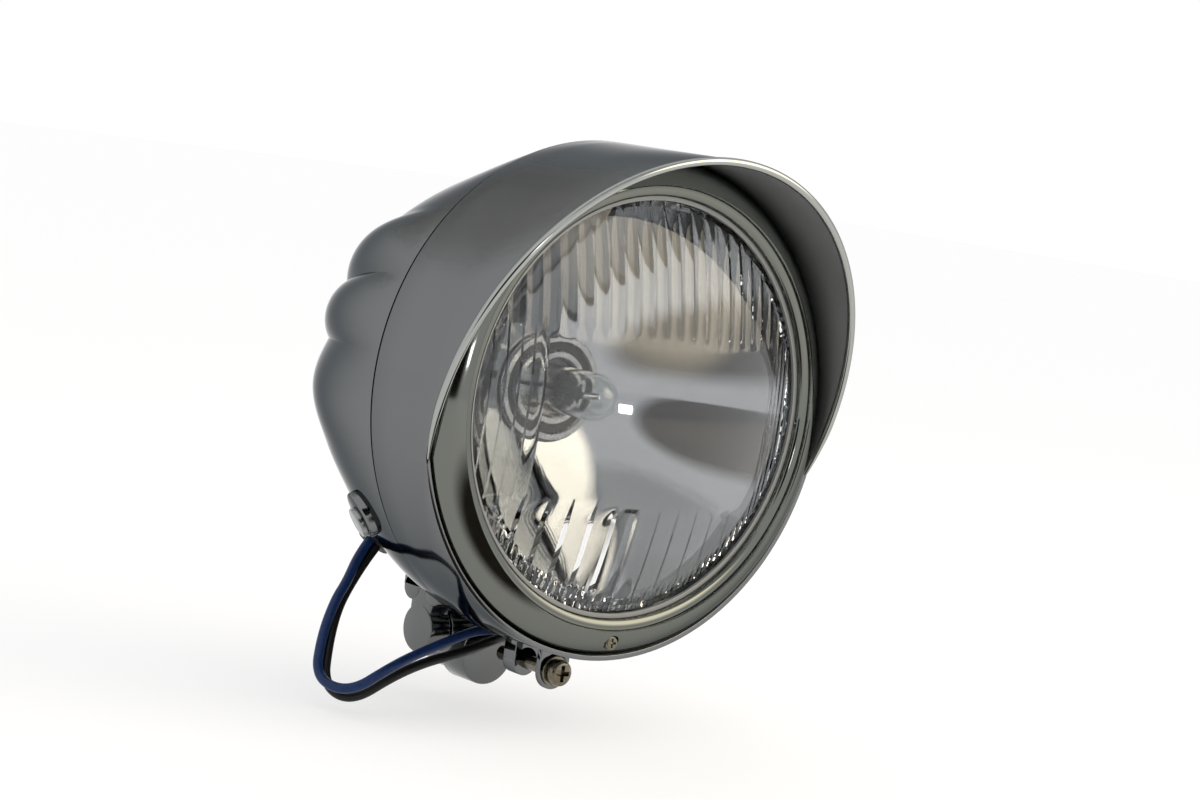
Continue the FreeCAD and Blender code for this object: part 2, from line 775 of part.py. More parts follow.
# Mount foot on the shell: a round ear on a short post, with a round-ended pad that follows the shell
pivot_level = height(-pivot_drop)
pivot_along = along(pivot_depth)
ear_inside = size("ear_outside") - size("ear_thick")
foot_side = -size("ear_outside")
ear = rod("foot_ear", size("ear_radius"), size("ear_thick"), (foot_side, pivot_along, pivot_level), TO_X)
post_half = size("ear_radius") * 0.7
post = block("foot_post", (size("ear_thick"), post_half * 2, pivot_drop - size("ear_radius")),
             (foot_side, pivot_along - post_half, pivot_level))
pad_level = height(-pad_drop)
pad_ends = [pivot_along + size("pad_span") * share for share in (-0.5, 0.5)]
pad = [
    block("pad_block", (size("pad_width"), size("pad_span") + size("pad_round") * 2, pad_drop),
          (foot_side, pad_ends[0] - size("pad_round"), pad_level)),
    rod("pad_front", size("pad_round"), size("pad_width"), (foot_side, pad_ends[0], pad_level), TO_X),
    rod("pad_back", size("pad_round"), size("pad_width"), (foot_side, pad_ends[1], pad_level), TO_X),
]
foot_holes = [
    outside,
    rod("foot_bolt_hole", size("foot_bolt") + size("hole_play"), size("foot_bolt_grip"),
        (*bolt_spot, pad_level + size("ring_wall"))),
    rod("foot_pivot_hole", size("pivot_radius"), size("ear_thick") - size("ring_wall"),
        (foot_side + size("ring_wall"), pivot_along, pivot_level), TO_X),
]
keep(without("foot_cut", joined("foot_whole", [ear, post, *pad]), foot_holes), "mount_foot")

# Bolt that holds the foot from inside, on a saddle washer shaped to the shell
bolt_start = pad_level + size("ring_wall")
saddle_top = pad_level + size("foot_bolt_grip") + size("foot_bolt_head")
saddle_rod = rod("saddle_rod", size("foot_bolt_head") * 1.4, saddle_top - pad_level, (*bolt_spot, pad_level))
saddle = doc.addObject("Part::Common", "saddle_trim")
saddle.Base = saddle_rod
saddle.Tool = inside
saddle_hole = rod("saddle_hole", size("foot_bolt") + size("hole_play"), shell, (*bolt_spot, height(-shell)))
keep(without("saddle_cut", saddle, [saddle_hole]), "saddle_washer")
keep(joined("foot_bolt_whole", [
    rod("foot_bolt_stem", size("foot_bolt"), saddle_top - bolt_start, (*bolt_spot, bolt_start)),
    six_sided("foot_bolt_top", size("foot_bolt_head"), size("foot_bolt") * 1.3, (*bolt_spot, saddle_top)),
]), "foot_bolt")

# Mount base: a barrel with the fixing thread in its hub, and a boss that meets the foot's ear
friction_end = ear_inside - size("friction_thick")
hub_start = along(barrel_front + size("barrel_length"))
base_solids = [
    rod("barrel", size("barrel_radius"), size("barrel_length"), (0, along(barrel_front), 0), TO_Y),
    rod("hub", size("hub_radius"), -hub_start, (0, hub_start, 0), TO_Y),
    rod("knuckle_boss", size("ear_radius"), friction_end, (-friction_end, pivot_along, pivot_level), TO_X),
    rod("head_seat", size("pivot_head") + size("ring_wall") * 0.5, size("seat_reach"),
        (0, pivot_along, pivot_level), TO_X),
]
base_holes = [
    rod("fixing_hole", size("thread_radius"), size("thread_length") * 2,
        (0, -size("thread_length"), 0), TO_Y),
    rod("pivot_hole", size("pivot_radius") + size("pivot_play"), (friction_end + size("seat_reach")) * 2,
        (-friction_end * 2, pivot_along, pivot_level), TO_X),
]
keep(without("base_cut", joined("base_whole", base_solids), base_holes), "mount_base")

friction_disc = rod("friction_disc", size("ear_radius") - size("ring_wall"),
                    size("friction_thick") - size("seat_gap") * 0.5,
                    (-ear_inside + size("seat_gap") * 0.25, pivot_along, pivot_level), TO_X)
friction_bore = rod("friction_bore", size("pivot_radius") + size("pivot_play"), size("friction_thick") * 3,
                    (-ear_inside - size("friction_thick"), pivot_along, pivot_level), TO_X)
keep(without("friction_cut", friction_disc, [friction_bore]), "friction_washer")

# Pivot screw: its thread is in the foot's ear, so it turns in the base with the lamp
pivot_tip = -ear_inside - size("ear_thick") + size("ring_wall") * 2
head_start = size("seat_reach") + size("seat_gap")
pivot_whole = joined("pivot_whole", [
    rod("pivot_stem", size("pivot_radius"), head_start - pivot_tip,
        (pivot_tip, pivot_along, pivot_level), TO_X),
    rod("pivot_top", size("pivot_head"), size("pivot_head_height"),
        (head_start, pivot_along, pivot_level), TO_X),
])
key_hole = six_sided("pivot_key", size("pivot_head") * 0.55, size("pivot_head_height"),
                     (head_start + size("pivot_head_height") * 0.5, pivot_along, pivot_level), TO_X)
keep(without("pivot_cut", pivot_whole, [key_hole]), "pivot_screw")

# Grommet in the shell and the two leads that leave through it
lead_radius = number("lead_diameter") / 2
grommet_top = grommet_spot + grommet_way * number("grommet_rise")
collar_length = number("grommet_rise") * 2
collar = Part.makeCylinder(number("grommet_radius"), collar_length, grommet_top, grommet_way * -1)
neck_start = grommet_spot - grommet_way * number("grommet_radius")
neck = Part.makeCylinder(neck_radius, number("grommet_radius"), neck_start, grommet_way)
spread = grommet_way.cross(Vector(0, 1, 0)).normalize() * (lead_radius + number("seat_gap") * 0.5)
grommet = collar.cut(shell_form(0.0, 0.99)).fuse(neck)
for side in (1, -1):
    grommet = grommet.cut(Part.makeCylinder(lead_radius, shell.value, neck_start * 0.9 + spread * side,
                                            grommet_way))
keep(shaped("grommet", grommet), "cable_grommet")

BLUE_ROUTE = [
    Vector(-40.0, 52.4, -51.4),
    Vector(-43.7, 51.0, -55.5),
    Vector(-47.6, 49.0, -63.6),
    Vector(-50.9, 44.9, -72.8),
    Vector(-47.8, 35.2, -74.2),
    Vector(-38.5, 32.8, -67.5),
    Vector(-29.0, 35.8, -65.1),
    Vector(-19.7, 36.8, -62.4),
    Vector(-9.7, 39.3, -60.2),
    Vector(0.3, 40.6, -60.5),
    Vector(9.9, 42.8, -59.3),
    Vector(19.0, 46.0, -57.6),
]
BLACK_ROUTE = [
    Vector(-37.9, 54.7, -53.5),
    Vector(-42.3, 51.8, -58.3),
    Vector(-45.6, 48.8, -65.6),
    Vector(-48.5, 44.6, -74.5),
    Vector(-43.9, 39.1, -77.2),
    Vector(-33.6, 37.7, -70.7),
    Vector(-23.7, 38.7, -67.7),
    Vector(-15.0, 39.6, -66.3),
    Vector(-5.5, 41.2, -64.1),
    Vector(3.5, 43.0, -62.15),
    Vector(12.9, 45.4, -61.9),
    Vector(22.0, 48.6, -61.2),
]


def lead(colour, route, side):
    """One lead from the grommet to its bullet sleeve."""
    exit_spot = grommet_top + spread * side
    points = [exit_spot, exit_spot + grommet_way * number("lead_straight")] + route
    tube, length, radii = round_wire(points, lead_radius)
    print(colour, "lead: length", round(length, 1), "tightest bend", round(min(radii), 1))
    keep(shaped(f"{colour}_tube", tube), f"{colour}_lead")
    way = (points[-1] - points[-2]).normalize()
    sleeve = Part.makeCylinder(number("sleeve_radius"), number("sleeve_length"), points[-1], way)
    mouth = Part.makeCylinder(lead_radius, number("sleeve_length") * 0.6,
                              points[-1] + way * (number("sleeve_length") * 0.4), way)
    keep(shaped(f"{colour}_sleeve", sleeve.cut(mouth)), f"{colour}_connector")


lead("blue", BLUE_ROUTE, -1)
lead("black", BLACK_ROUTE, 1)


# Leads inside the shell, from the grommet to the back of the bulb
def inner_lead(side):
    start = neck_start + spread * side
    base_end = holder_back.value + number("bulb_base_length")
    goal = Vector(number("bulb_base_radius") * 0.4 * side, base_end, 0)
    points = [
        start,
        start - grommet_way * number("inner_straight"),
        Vector((start.x + goal.x) * 0.5, base_end + number("inner_back"), -number("inner_low")),
        goal + Vector(0, number("tail_back"), -number("tail_low")),
        goal + Vector(0, number("tail_straight"), 0),
        goal,
    ]
    tube, _, _ = round_wire(points, lead_radius)
    return tube


keep(shaped("inner_tubes", Part.Compound([inner_lead(1), inner_lead(-1)])), "inner_leads")

doc.recompute()

# Every object has to be sound before anything is written
for item in doc.Objects:
    if "Invalid" in item.State or "Error" in item.State:
        raise RuntimeError(f"{item.Label} failed: {item.State}")
os.makedirs("parts", exist_ok=True)
for piece in pieces:
    if piece.Shape.isNull() or not piece.Shape.isValid():
        raise RuntimeError(f"{piece.Label} has no valid shape")
    if not piece.Shape.Solids:
        raise RuntimeError(f"{piece.Label} has no solid")
    piece.Shape.exportStep(f"parts/{piece.Label}.step")
    print(piece.Label, len(piece.Shape.Solids), round(piece.Shape.Volume, 1))
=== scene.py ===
# %% [markdown]
# This lesson dresses the solid model of a motorbike spotlight for a studio picture.

# %% Load the frame
import math

import bpy
from mathutils import Matrix, Vector


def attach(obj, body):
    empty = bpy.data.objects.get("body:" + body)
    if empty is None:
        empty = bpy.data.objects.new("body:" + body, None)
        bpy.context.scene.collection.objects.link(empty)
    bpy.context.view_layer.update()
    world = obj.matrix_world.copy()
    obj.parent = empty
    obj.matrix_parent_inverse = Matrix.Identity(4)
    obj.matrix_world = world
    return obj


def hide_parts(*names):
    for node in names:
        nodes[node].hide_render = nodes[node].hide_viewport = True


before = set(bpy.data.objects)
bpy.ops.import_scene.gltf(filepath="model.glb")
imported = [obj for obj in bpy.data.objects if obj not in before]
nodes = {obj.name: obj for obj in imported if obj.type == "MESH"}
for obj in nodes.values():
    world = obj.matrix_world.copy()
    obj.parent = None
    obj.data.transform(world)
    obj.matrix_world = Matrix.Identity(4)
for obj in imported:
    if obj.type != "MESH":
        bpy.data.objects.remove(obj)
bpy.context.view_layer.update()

# %% [markdown]
# The lamp is turned about one axis, so every size here is in millimetres from the middle of the rim's front
# edge: depth runs back along the axis, and height is up from it. One function sets a point into the frame.

# %% Places on the lamp
AXIS_HEIGHT = 67.4
RIM_DEPTH = -64.0
MM = 0.001
QUARTER = math.pi / 2


def spot(x, depth, height):
    """A point given in millimetres from the rim's centre, in metres in the shared frame."""
    return Vector((x * MM, (depth + RIM_DEPTH) * MM, (height + AXIS_HEIGHT) * MM))


AXIS = spot(0, 0, 0)
print("lamp axis at", [round(value, 4) for value in AXIS])

# %% [markdown]
# Colours are written as the sRGB hex values that a colour picker shows, and shaders work with linear light,
# so one function turns one into the other. A second small function adds a node, sets it and links it.

# %% Colour and node helpers


def linear(code):
    """A hex colour such as '8a8c8e' as linear red, green, blue and full alpha."""
    shares = [int(code[index:index + 2], 16) / 255 for index in (0, 2, 4)]
    light = [share / 12.92 if share <= 0.04045 else ((share + 0.055) / 1.055) ** 2.4 for share in shares]
    return light + [1.0]


def add_node(tree, kind, inputs=None, **settings):
    """A new node: settings are its own properties, inputs are socket values or sockets to link from."""
    node = tree.nodes.new(kind)
    for name, value in settings.items():
        setattr(node, name, value)
    for name, value in (inputs or {}).items():
        if isinstance(value, bpy.types.NodeSocket):
            tree.links.new(value, node.inputs[name])
        else:
            node.inputs[name].default_value = value
    return node


def new_finish(name, colour, **sockets):
    """A material with one principled shader; returns it, its tree and the shader."""
    material = bpy.data.materials.new(name)
    material.use_nodes = True
    tree = material.node_tree
    tree.nodes.clear()
    shader = add_node(tree, "ShaderNodeBsdfPrincipled", {"Base Color": linear(colour), **sockets})
    add_node(tree, "ShaderNodeOutputMaterial", {"Surface": shader.outputs["BSDF"]})
    return material, tree, shader


print("white is", linear("ffffff"))

# %% [markdown]
# No real surface is perfectly even. One noise pattern, with a real spacing in millimetres, bends a finish's
# reflections a little, varies how sharp they are, and can also blend two shades of its colour.

# %% Unevenness
NOISE_LOW, NOISE_HIGH = 0.3, 0.7
SHADE_STOPS = (0.35, 0.65)


def uneven(tree, shader, spacing_mm, height_mm, rough, shades=None):
    """A gentle unevenness: hills this far apart and this high, a roughness range, and two shades if given."""
    place = add_node(tree, "ShaderNodeTexCoord")
    noise = add_node(tree, "ShaderNodeTexNoise", {
        "Vector": place.outputs["Object"],
        "Scale": 1.0 / (spacing_mm * MM),
        "Detail": 2.0,
    })
    bump = add_node(tree, "ShaderNodeBump", {
        "Height": noise.outputs["Fac"],
        "Strength": 1.0,
        "Distance": height_mm * MM,
    })
    tree.links.new(bump.outputs["Normal"], shader.inputs["Normal"])
    gloss = add_node(tree, "ShaderNodeMapRange", {
        "Value": noise.outputs["Fac"],
        "From Min": NOISE_LOW,
        "From Max": NOISE_HIGH,
        "To Min": rough[0],
        "To Max": rough[1],
    })
    tree.links.new(gloss.outputs[0], shader.inputs["Roughness"])
    if shades:
        ramp = add_node(tree, "ShaderNodeValToRGB", {"Fac": noise.outputs["Fac"]})
        for stop, position, code in zip(ramp.color_ramp.elements, SHADE_STOPS, shades):
            stop.position = position
            stop.color = linear(code)
        tree.links.new(ramp.outputs["Color"], shader.inputs["Base Color"])


def uneven_finish(name, colour, spacing_mm, height_mm, rough, shades=None, **sockets):
    """A finish of this colour with its unevenness."""
    material, tree, shader = new_finish(name, colour, **sockets)
    uneven(tree, shader, spacing_mm, height_mm, rough, shades)
    return material


print("noise is spread from", NOISE_LOW, "to", NOISE_HIGH)

# %% [markdown]
# Chrome plate is a thin bright layer over polished steel. It has almost no colour of its own and shows the
# room, so its grey here is the grey that it shows in a pale studio. Chrome plate also darkens a little
# towards grazing light, which the specular tint gives. The rim and the rolled lip are polished a little
# smoother than the broad pressings. The rim's copy of the plate is also slightly darker with a faint warm
# cast, a painted reflection, and the lip's copy is much lighter, a painted highlight along the bead. The
# inside of the band is plated but not polished, so it only shows soft tones, and its copy is made far
# lighter, painted light that lifts the shade inside the band. The die-cast mount keeps a trace of the
# casting's skin under its plate.

# %% Chrome finishes
METAL = {"Metallic": 1.0}
POLISHED = {"spacing_mm": 40.0, "height_mm": 0.015, "Specular Tint": linear("a4a6a8"), **METAL}
chrome = uneven_finish("chrome_plate", "747677", rough=(0.05, 0.10), **POLISHED)
# The rim's copy of the plate is smoother, and its warm, slightly darker tone is a painted reflection.
rim_painted_reflection_chrome = uneven_finish("rim_plate_painted_reflection", "70726d", rough=(0.04, 0.09), **POLISHED)
# A much lighter copy of the plate for the rolled lip: a painted highlight along the bead.
lip_painted_highlight_chrome = uneven_finish("lip_plate_painted_highlight", "a4a6a3", rough=(0.04, 0.09), **POLISHED)
# A far lighter, rough copy of the plate for the inside of the band: painted light that lifts its shade.
band_inside_painted_light_chrome = uneven_finish("band_inside_plate_painted_light", "b4b6b8", 20.0, 0.02, (0.46, 0.54), **METAL)
cast_chrome = uneven_finish("chromed_casting", "6a6c6c", 4.0, 0.02, (0.12, 0.2), **METAL)
print("chrome", [plate.name for plate in (chrome, rim_painted_reflection_chrome, lip_painted_highlight_chrome, band_inside_painted_light_chrome, cast_chrome)])

# %% [markdown]
# The screws are nickel-plated, with a brown tarnish in places. The holder and clips are plain pressed
# steel, and the reflector has a bright vapour coat that follows the small waves of its pressing.

# %% Metals inside and small parts
nickel = uneven_finish("nickel_plated_steel", "7c776a", 1.6, 0.012, (0.18, 0.3),
                       shades=("6b6455", "827e72"), **METAL)
steel = uneven_finish("pressed_steel", "8f9192", 2.5, 0.01, (0.2, 0.3),
                      shades=("868889", "979999"), **METAL)
wire_steel = uneven_finish("drawn_wire", "85868a", 0.6, 0.004, (0.16, 0.26), **METAL)
mirror_coat = uneven_finish("vapour_coated_mirror", "94979a", 14.0, 0.008, (0.03, 0.06), **METAL)
print("metals", nickel.name, steel.name, wire_steel.name, mirror_coat.name)

# %% [markdown]
# Glass is clear and colourless: its look comes from its own shape, which bends what lies behind it. The
# pressed glass keeps a low sheen, so that the bowl behind it shows. Rubber and moulded plastic have a fine
# matt grain, and the leads' vinyl jackets have a soft gloss.

# %% Glass, rubber and plastics
CLEAR = {"Transmission Weight": 1.0}
LOW_SHEEN = {"Specular IOR Level": 0.25}
lens_clear = new_finish("pressed_glass", "ffffff", IOR=1.45, Roughness=0.0, **LOW_SHEEN, **CLEAR)[0]
bulb_clear = new_finish("quartz_glass", "f2f4f4", IOR=1.46, Roughness=0.0, **CLEAR)[0]
ceramic = uneven_finish("moulded_insulator", "c9c6bb", 1.5, 0.02, (0.55, 0.7),
                        shades=("bdb9ad", "cfccc2"))
# The black rubber finish also serves as painted shade in the shell's seam and in the holder's groove.
rubber_and_painted_shade = uneven_finish("black_rubber_and_painted_shade", "161617", 0.8, 0.02, (0.5, 0.65))
seal = uneven_finish("grey_silicone", "858685", 1.2, 0.02, (0.45, 0.6))
SOFT = {"Specular IOR Level": 0.3}
blue_vinyl = uneven_finish("blue_vinyl_jacket", "04234f", 1.0, 0.01, (0.32, 0.46),
                           shades=("031e45", "052857"), **SOFT)
black_vinyl = uneven_finish("black_vinyl_jacket", "0a0b0c", 1.0, 0.01, (0.34, 0.48), **SOFT)
sleeve_plastic = uneven_finish("moulded_sleeve", "1b1c1e", 0.9, 0.012, (0.38, 0.5))
print("finishes", len(bpy.data.materials))

# %% [markdown]
# Every solid of the frame gets its finish first. Where the solid itself is good enough it stays in view,
# and the larger bright pieces are then modelled again with smoother surfaces, because a mirror finish shows
# each facet.

# %% Finishes on the solids
NODE_FINISH = {
    "trim_ring": chrome, "rear_shell": chrome, "mount_foot": cast_chrome, "mount_base": cast_chrome,
    "rim_screw": nickel, "clamp_screw": nickel, "clamp_washer": nickel, "boss_plug": steel,
    "pivot_screw": nickel, "friction_washer": steel, "foot_bolt": nickel, "saddle_washer": steel,
    "retaining_clips": steel,
    "lens_glass": lens_clear, "lens_gasket": seal, "reflector": mirror_coat,
    "bulb_holder": steel, "bulb_flange": steel, "bulb_glass": bulb_clear, "bulb_base": ceramic,
    "filament": wire_steel, "filament_posts": wire_steel, "bulb_spring": wire_steel,
    "cable_grommet": rubber_and_painted_shade, "blue_lead": blue_vinyl, "black_lead": black_vinyl,
    "blue_connector": sleeve_plastic, "black_connector": sleeve_plastic, "inner_leads": black_vinyl,
}


def paint(piece, material):
    """The piece's only material."""
    piece.data.materials.clear()
    piece.data.materials.append(material)


for name, material in NODE_FINISH.items():
    paint(nodes[name], material)
print("dressed", len(NODE_FINISH), "solids")

# %% [markdown]
# Most of the lamp is turned, as on a lathe. A profile is drawn by extruding one point from corner to
# corner, and then spun about the lamp's axis. The seam is merged and the faces are turned outwards.

# %% Turning helper
TURN_STEPS = 192
MERGE_MM = 0.01


def draw_line(name, points):
    """A chain of edges, drawn by extruding one vertex; leaves the new piece in edit mode."""
    bpy.ops.object.select_all(action="DESELECT")
    bpy.ops.mesh.primitive_plane_add(size=MM, location=(0, 0, 0))
    piece = bpy.context.object
    piece.name = name
    bpy.ops.object.mode_set(mode="EDIT")
    bpy.ops.mesh.select_all(action="SELECT")
    bpy.ops.mesh.merge(type="CENTER")
    bpy.ops.transform.translate(value=points[0])
    for start, end in zip(points, points[1:]):
        bpy.ops.mesh.extrude_region_move(TRANSFORM_OT_translate={"value": end - start})
    return piece


def turned(name, profile, closed=True):
    """A profile of (depth, radius) corners in millimetres, spun about the lamp's axis."""
    points = [spot(0, depth, radius) for depth, radius in profile]
    if closed:
        points = points + points[:1]
    piece = draw_line(name, points)
    bpy.ops.mesh.select_all(action="SELECT")
    bpy.ops.mesh.spin(steps=TURN_STEPS, angle=2 * math.pi, center=AXIS, axis=(0, 1, 0))
    bpy.ops.mesh.select_all(action="SELECT")
    bpy.ops.mesh.remove_doubles(threshold=MERGE_MM * MM)
    bpy.ops.mesh.normals_make_consistent(inside=False)
    return piece


print("a turn has", TURN_STEPS, "steps")

# %% [markdown]
# Modifiers are applied one at a time, so that the next step works on the finished mesh. Each new piece is
# then shaded smooth but for its sharp edges, and gets its finish, the body it rides on and its slot.

# %% Finishing helpers
SHARP_DEGREES = 35


def select_only(piece):
    """Out of edit mode, with this piece alone selected and active."""
    if bpy.context.object and bpy.context.object.mode == "EDIT":
        bpy.ops.object.mode_set(mode="OBJECT")
    bpy.ops.object.select_all(action="DESELECT")
    piece.select_set(True)
    bpy.context.view_layer.objects.active = piece


def settle(piece, material, body="head", sharp=SHARP_DEGREES):
    """Smooth but for sharp edges, with its finish, body and slot."""
    select_only(piece)
    bpy.ops.object.shade_smooth_by_angle(angle=math.radians(sharp))
    paint(piece, material)
    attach(piece, body)
    print(piece.name, len(piece.data.polygons), "faces")
    return piece


def finish_with(piece, kind, **settings):
    """Adds one modifier, sets it and applies it."""
    select_only(piece)
    modifier = piece.modifiers.new(kind.lower(), kind)
    for name, value in settings.items():
        setattr(modifier, name, value)
    bpy.ops.object.modifier_apply(modifier=modifier.name)


print("edges over", SHARP_DEGREES, "degrees stay sharp")

# %% [markdown]
# Small castings and fasteners are rods and blocks with softly rounded edges. Each starts as a primitive at
# its place, and its place is applied, so that the object itself stays at the origin. A bevel rounds the
# edges, because a sharp edge never catches the light. Several are then joined into one piece.

# %% Rod and block helpers
ROD_SIDES, EDGE_STEPS, EDGE_ANGLE = 64, 3, 0.6


def rounded(piece, name, edge_mm):
    """Applies the place of a new primitive and rounds its edges."""
    piece.name = name
    bpy.ops.object.transform_apply(location=True, rotation=True, scale=True)
    if edge_mm:
        finish_with(piece, "BEVEL", width=edge_mm * MM, segments=EDGE_STEPS, limit_method="ANGLE",
                    angle_limit=EDGE_ANGLE)
    return piece


def rod(name, start, end, radius_mm, edge_mm=0.3):
    """A round rod between two points in the frame."""
    way = end - start
    bpy.ops.object.select_all(action="DESELECT")
    bpy.ops.mesh.primitive_cylinder_add(vertices=ROD_SIDES, radius=radius_mm * MM, depth=way.length,
                                        location=(start + end) / 2,
                                        rotation=way.to_track_quat("Z", "Y").to_euler())
    return rounded(bpy.context.object, name, edge_mm)


def block(name, low, high, edge_mm=0.3):
    """A block between two opposite corners in the frame."""
    bpy.ops.object.select_all(action="DESELECT")
    bpy.ops.mesh.primitive_cube_add(size=1.0, location=(low + high) / 2, scale=high - low)
    return rounded(bpy.context.object, name, edge_mm)


def joined(name, parts):
    """Several pieces as one object."""
    select_only(parts[0])
    for part in parts[1:]:
        part.select_set(True)
    bpy.ops.object.join()
    whole = bpy.context.object
    whole.name = name
    return whole


print("rods have", ROD_SIDES, "sides")

# %% [markdown]
# Beads and leads are curves with a round section. Holes and recesses are cut with Boolean modifiers, and the
# tools that cut them are removed again.

# %% Curve and cutting helpers


def round_curve(name, kind, places, radius_mm, resolution):
    """A curve with a round section through places in the frame; returns it and its spline."""
    bpy.ops.object.select_all(action="DESELECT")
    bpy.ops.curve.primitive_nurbs_path_add(location=(0, 0, 0))
    curve = bpy.context.object
    curve.name = name
    curve.data.splines.clear()
    line = curve.data.splines.new(kind)
    line.points.add(len(places) - 1)
    for point, place in zip(line.points, places):
        point.co = (*place, 1.0)
    curve.data.bevel_depth = radius_mm * MM
    curve.data.bevel_resolution = resolution
    return curve, line


def cut_out(piece, tools):
    """Cuts the tools out of a piece and removes them."""
    for tool in tools:
        finish_with(piece, "BOOLEAN", operation="DIFFERENCE", object=tool, solver="EXACT")
        bpy.data.objects.remove(tool)


# %% [markdown]
# The trim ring is one pressing with a wide band. Over the top the band runs forward as a peak. Its outer
# wall starts as a plain tube. One plane scores the slope of the peak across it, and one row of the tube
# lies at the flat front of the band below. The faces in front of both are deleted, and a Solidify modifier
# gives the sheet its thickness.

# %% Band and peak
RING, WALL, SEAM, SHOULDER = 60.0, 1.2, 25.0, 4.5
PEAK_CENTRE, PEAK_SLOPE, PEAK_FRONT = 0.2, 0.306, -19.5
BAND_DEPTHS = (SEAM, 18.0, 11.0, SHOULDER, PEAK_FRONT)
SHEET_ROUND, SHEET_ANGLE = 0.3, 1.0
FACES_AXIS = -0.3


def in_front(place):
    """Whether a place in the frame lies in front of the band and of the peak."""
    depth = (place.y / MM) - RIM_DEPTH
    level = (place.z / MM) - AXIS_HEIGHT
    return depth < SHOULDER and depth < PEAK_CENTRE - PEAK_SLOPE * level


band = turned("ring_band", [(depth, RING) for depth in BAND_DEPTHS], closed=False)
slope_way = Vector((0, 1, PEAK_SLOPE)).normalized()
bpy.ops.mesh.bisect(plane_co=spot(0, PEAK_CENTRE, 0), plane_no=slope_way)
bpy.ops.mesh.select_mode(type="FACE")
bpy.ops.mesh.select_all(action="DESELECT")
bpy.ops.object.mode_set(mode="OBJECT")
for face in band.data.polygons:
    face.select = in_front(face.center)
bpy.ops.object.mode_set(mode="EDIT")
bpy.ops.mesh.delete(type="FACE")
bpy.ops.mesh.select_mode(type="VERT")
bpy.ops.mesh.select_all(action="SELECT")
bpy.ops.mesh.normals_make_consistent(inside=False)
bpy.ops.object.mode_set(mode="OBJECT")
outward = sum(face.normal.dot(face.center - AXIS) for face in band.data.polygons)
finish_with(band, "SOLIDIFY", thickness=math.copysign(WALL * MM, outward), offset=-1.0)
finish_with(band, "BEVEL", width=SHEET_ROUND * MM, segments=EDGE_STEPS, limit_method="ANGLE",
            angle_limit=SHEET_ANGLE)
settle(band, chrome)
# Faces that look in towards the axis take the lighter copy: painted light inside the band.
band.data.materials.append(band_inside_painted_light_chrome)
for face in band.data.polygons:
    from_axis = face.center - AXIS
    from_axis.y = 0.0
    if face.normal.dot(from_axis.normalized()) < FACES_AXIS:
        face.material_index = 1
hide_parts("trim_ring")

# %% [markdown]
# The peak's edge is rolled over a wire on the real one, so a round bead follows the slope. A curve with a
# round bevel gives that, and it thins out at both ends, where the bead runs into the band.

# %% Rolled lip
BEAD = 0.94
LIP_STEPS, LIP_TAPER, LIP_END = 120, 10, 0.35
lip_radius = RING - WALL / 2
lip_low = (PEAK_CENTRE - SHOULDER) / PEAK_SLOPE
lip_reach = math.acos(lip_low / lip_radius)
lip_places = []
for step in range(LIP_STEPS + 1):
    turn = lip_reach * (2 * step / LIP_STEPS - 1)
    across, level = lip_radius * math.sin(turn), lip_radius * math.cos(turn)
    lip_places.append(spot(across, PEAK_CENTRE - PEAK_SLOPE * level, level))
lip, line = round_curve("ring_lip", "POLY", lip_places, radius_mm=BEAD, resolution=8)
for step, point in enumerate(line.points):
    point.radius = min(1.0, LIP_END + min(step, LIP_STEPS - step) / LIP_TAPER)
lip.data.use_fill_caps = True
bpy.ops.object.convert(target="MESH")
# The bead takes the lighter copy of the plate, a painted highlight.
settle(bpy.context.object, lip_painted_highlight_chrome, sharp=60)

# %% [markdown]
# The rounded rim holds the glass. It starts in a narrow groove behind the band's front edge, swells forward
# and ends in a fine bead round the opening. Its closed profile is spun in one go.

# %% Rim round the glass
RIM, RIM_ROUND, OPENING = 52.2, 9.0, 49.4


def round_corner(start, end, radius, count):
    """Points of the arc of this radius from start to end, bulging to the front and outside."""
    first, last = Vector(start), Vector(end)
    chord = last - first
    rise = math.sqrt(radius ** 2 - (chord.length / 2) ** 2)
    side = Vector((-chord.y, chord.x)).normalized()
    middle = (first + last) / 2
    centre = max((middle + side * rise, middle - side * rise), key=lambda point: point.x)
    begin = math.atan2(first.y - centre.y, first.x - centre.x)
    finish = math.atan2(last.y - centre.y, last.x - centre.x)
    sweep = (finish - begin + math.pi) % (2 * math.pi) - math.pi
    turns = [begin + sweep * step / count for step in range(count + 1)]
    return [(centre.x + radius * math.cos(turn), centre.y + radius * math.sin(turn)) for turn in turns]


groove = [(7.6, 58.75), (6.0, 58.3)]
groove_end = [(7.6, 57.4)]
rim_front = round_corner((4.6, 58.2), (0.0, RIM), radius=RIM_ROUND, count=14)
rim_back = round_corner((5.9, 57.0), (2.6, 51.0), radius=RIM_ROUND, count=10)
bead_round = [(0.25, 51.95), (0.9, 51.8), (0.95, 50.4), (1.2, 49.9), (1.7, 49.5), (2.6, OPENING)]
rim = turned("ring_rim", groove + rim_front + bead_round + rim_back[::-1] + groove_end)
# The rim's warm tone is a painted reflection.
settle(rim, rim_painted_reflection_chrome, sharp=40)

# %% [markdown]
# A short tab hangs from the band for the clamp screw, and a lug on the shell takes the screw's end. Both
# are plates with a round end.

# %% Clamp tab and lug
CLAMP_LEVEL, PLATE_EDGE = -66.0, 0.25


def ear_plate(name, half_width, front, back, top):
    """A plate across the lamp with a round lower end at the clamp screw."""
    plate = block(name, spot(-half_width, front, CLAMP_LEVEL), spot(half_width, back, top), PLATE_EDGE)
    end = rod(name + "_end", spot(0, front, CLAMP_LEVEL), spot(0, back, CLAMP_LEVEL), half_width, PLATE_EDGE)
    settle(joined(name, [plate, end]), chrome)


ear_plate("ring_tab", half_width=4.5, front=20.3, back=21.8, top=-59.2)
ear_plate("shell_lug", half_width=3.6, front=31.0, back=35.5, top=-57.0)

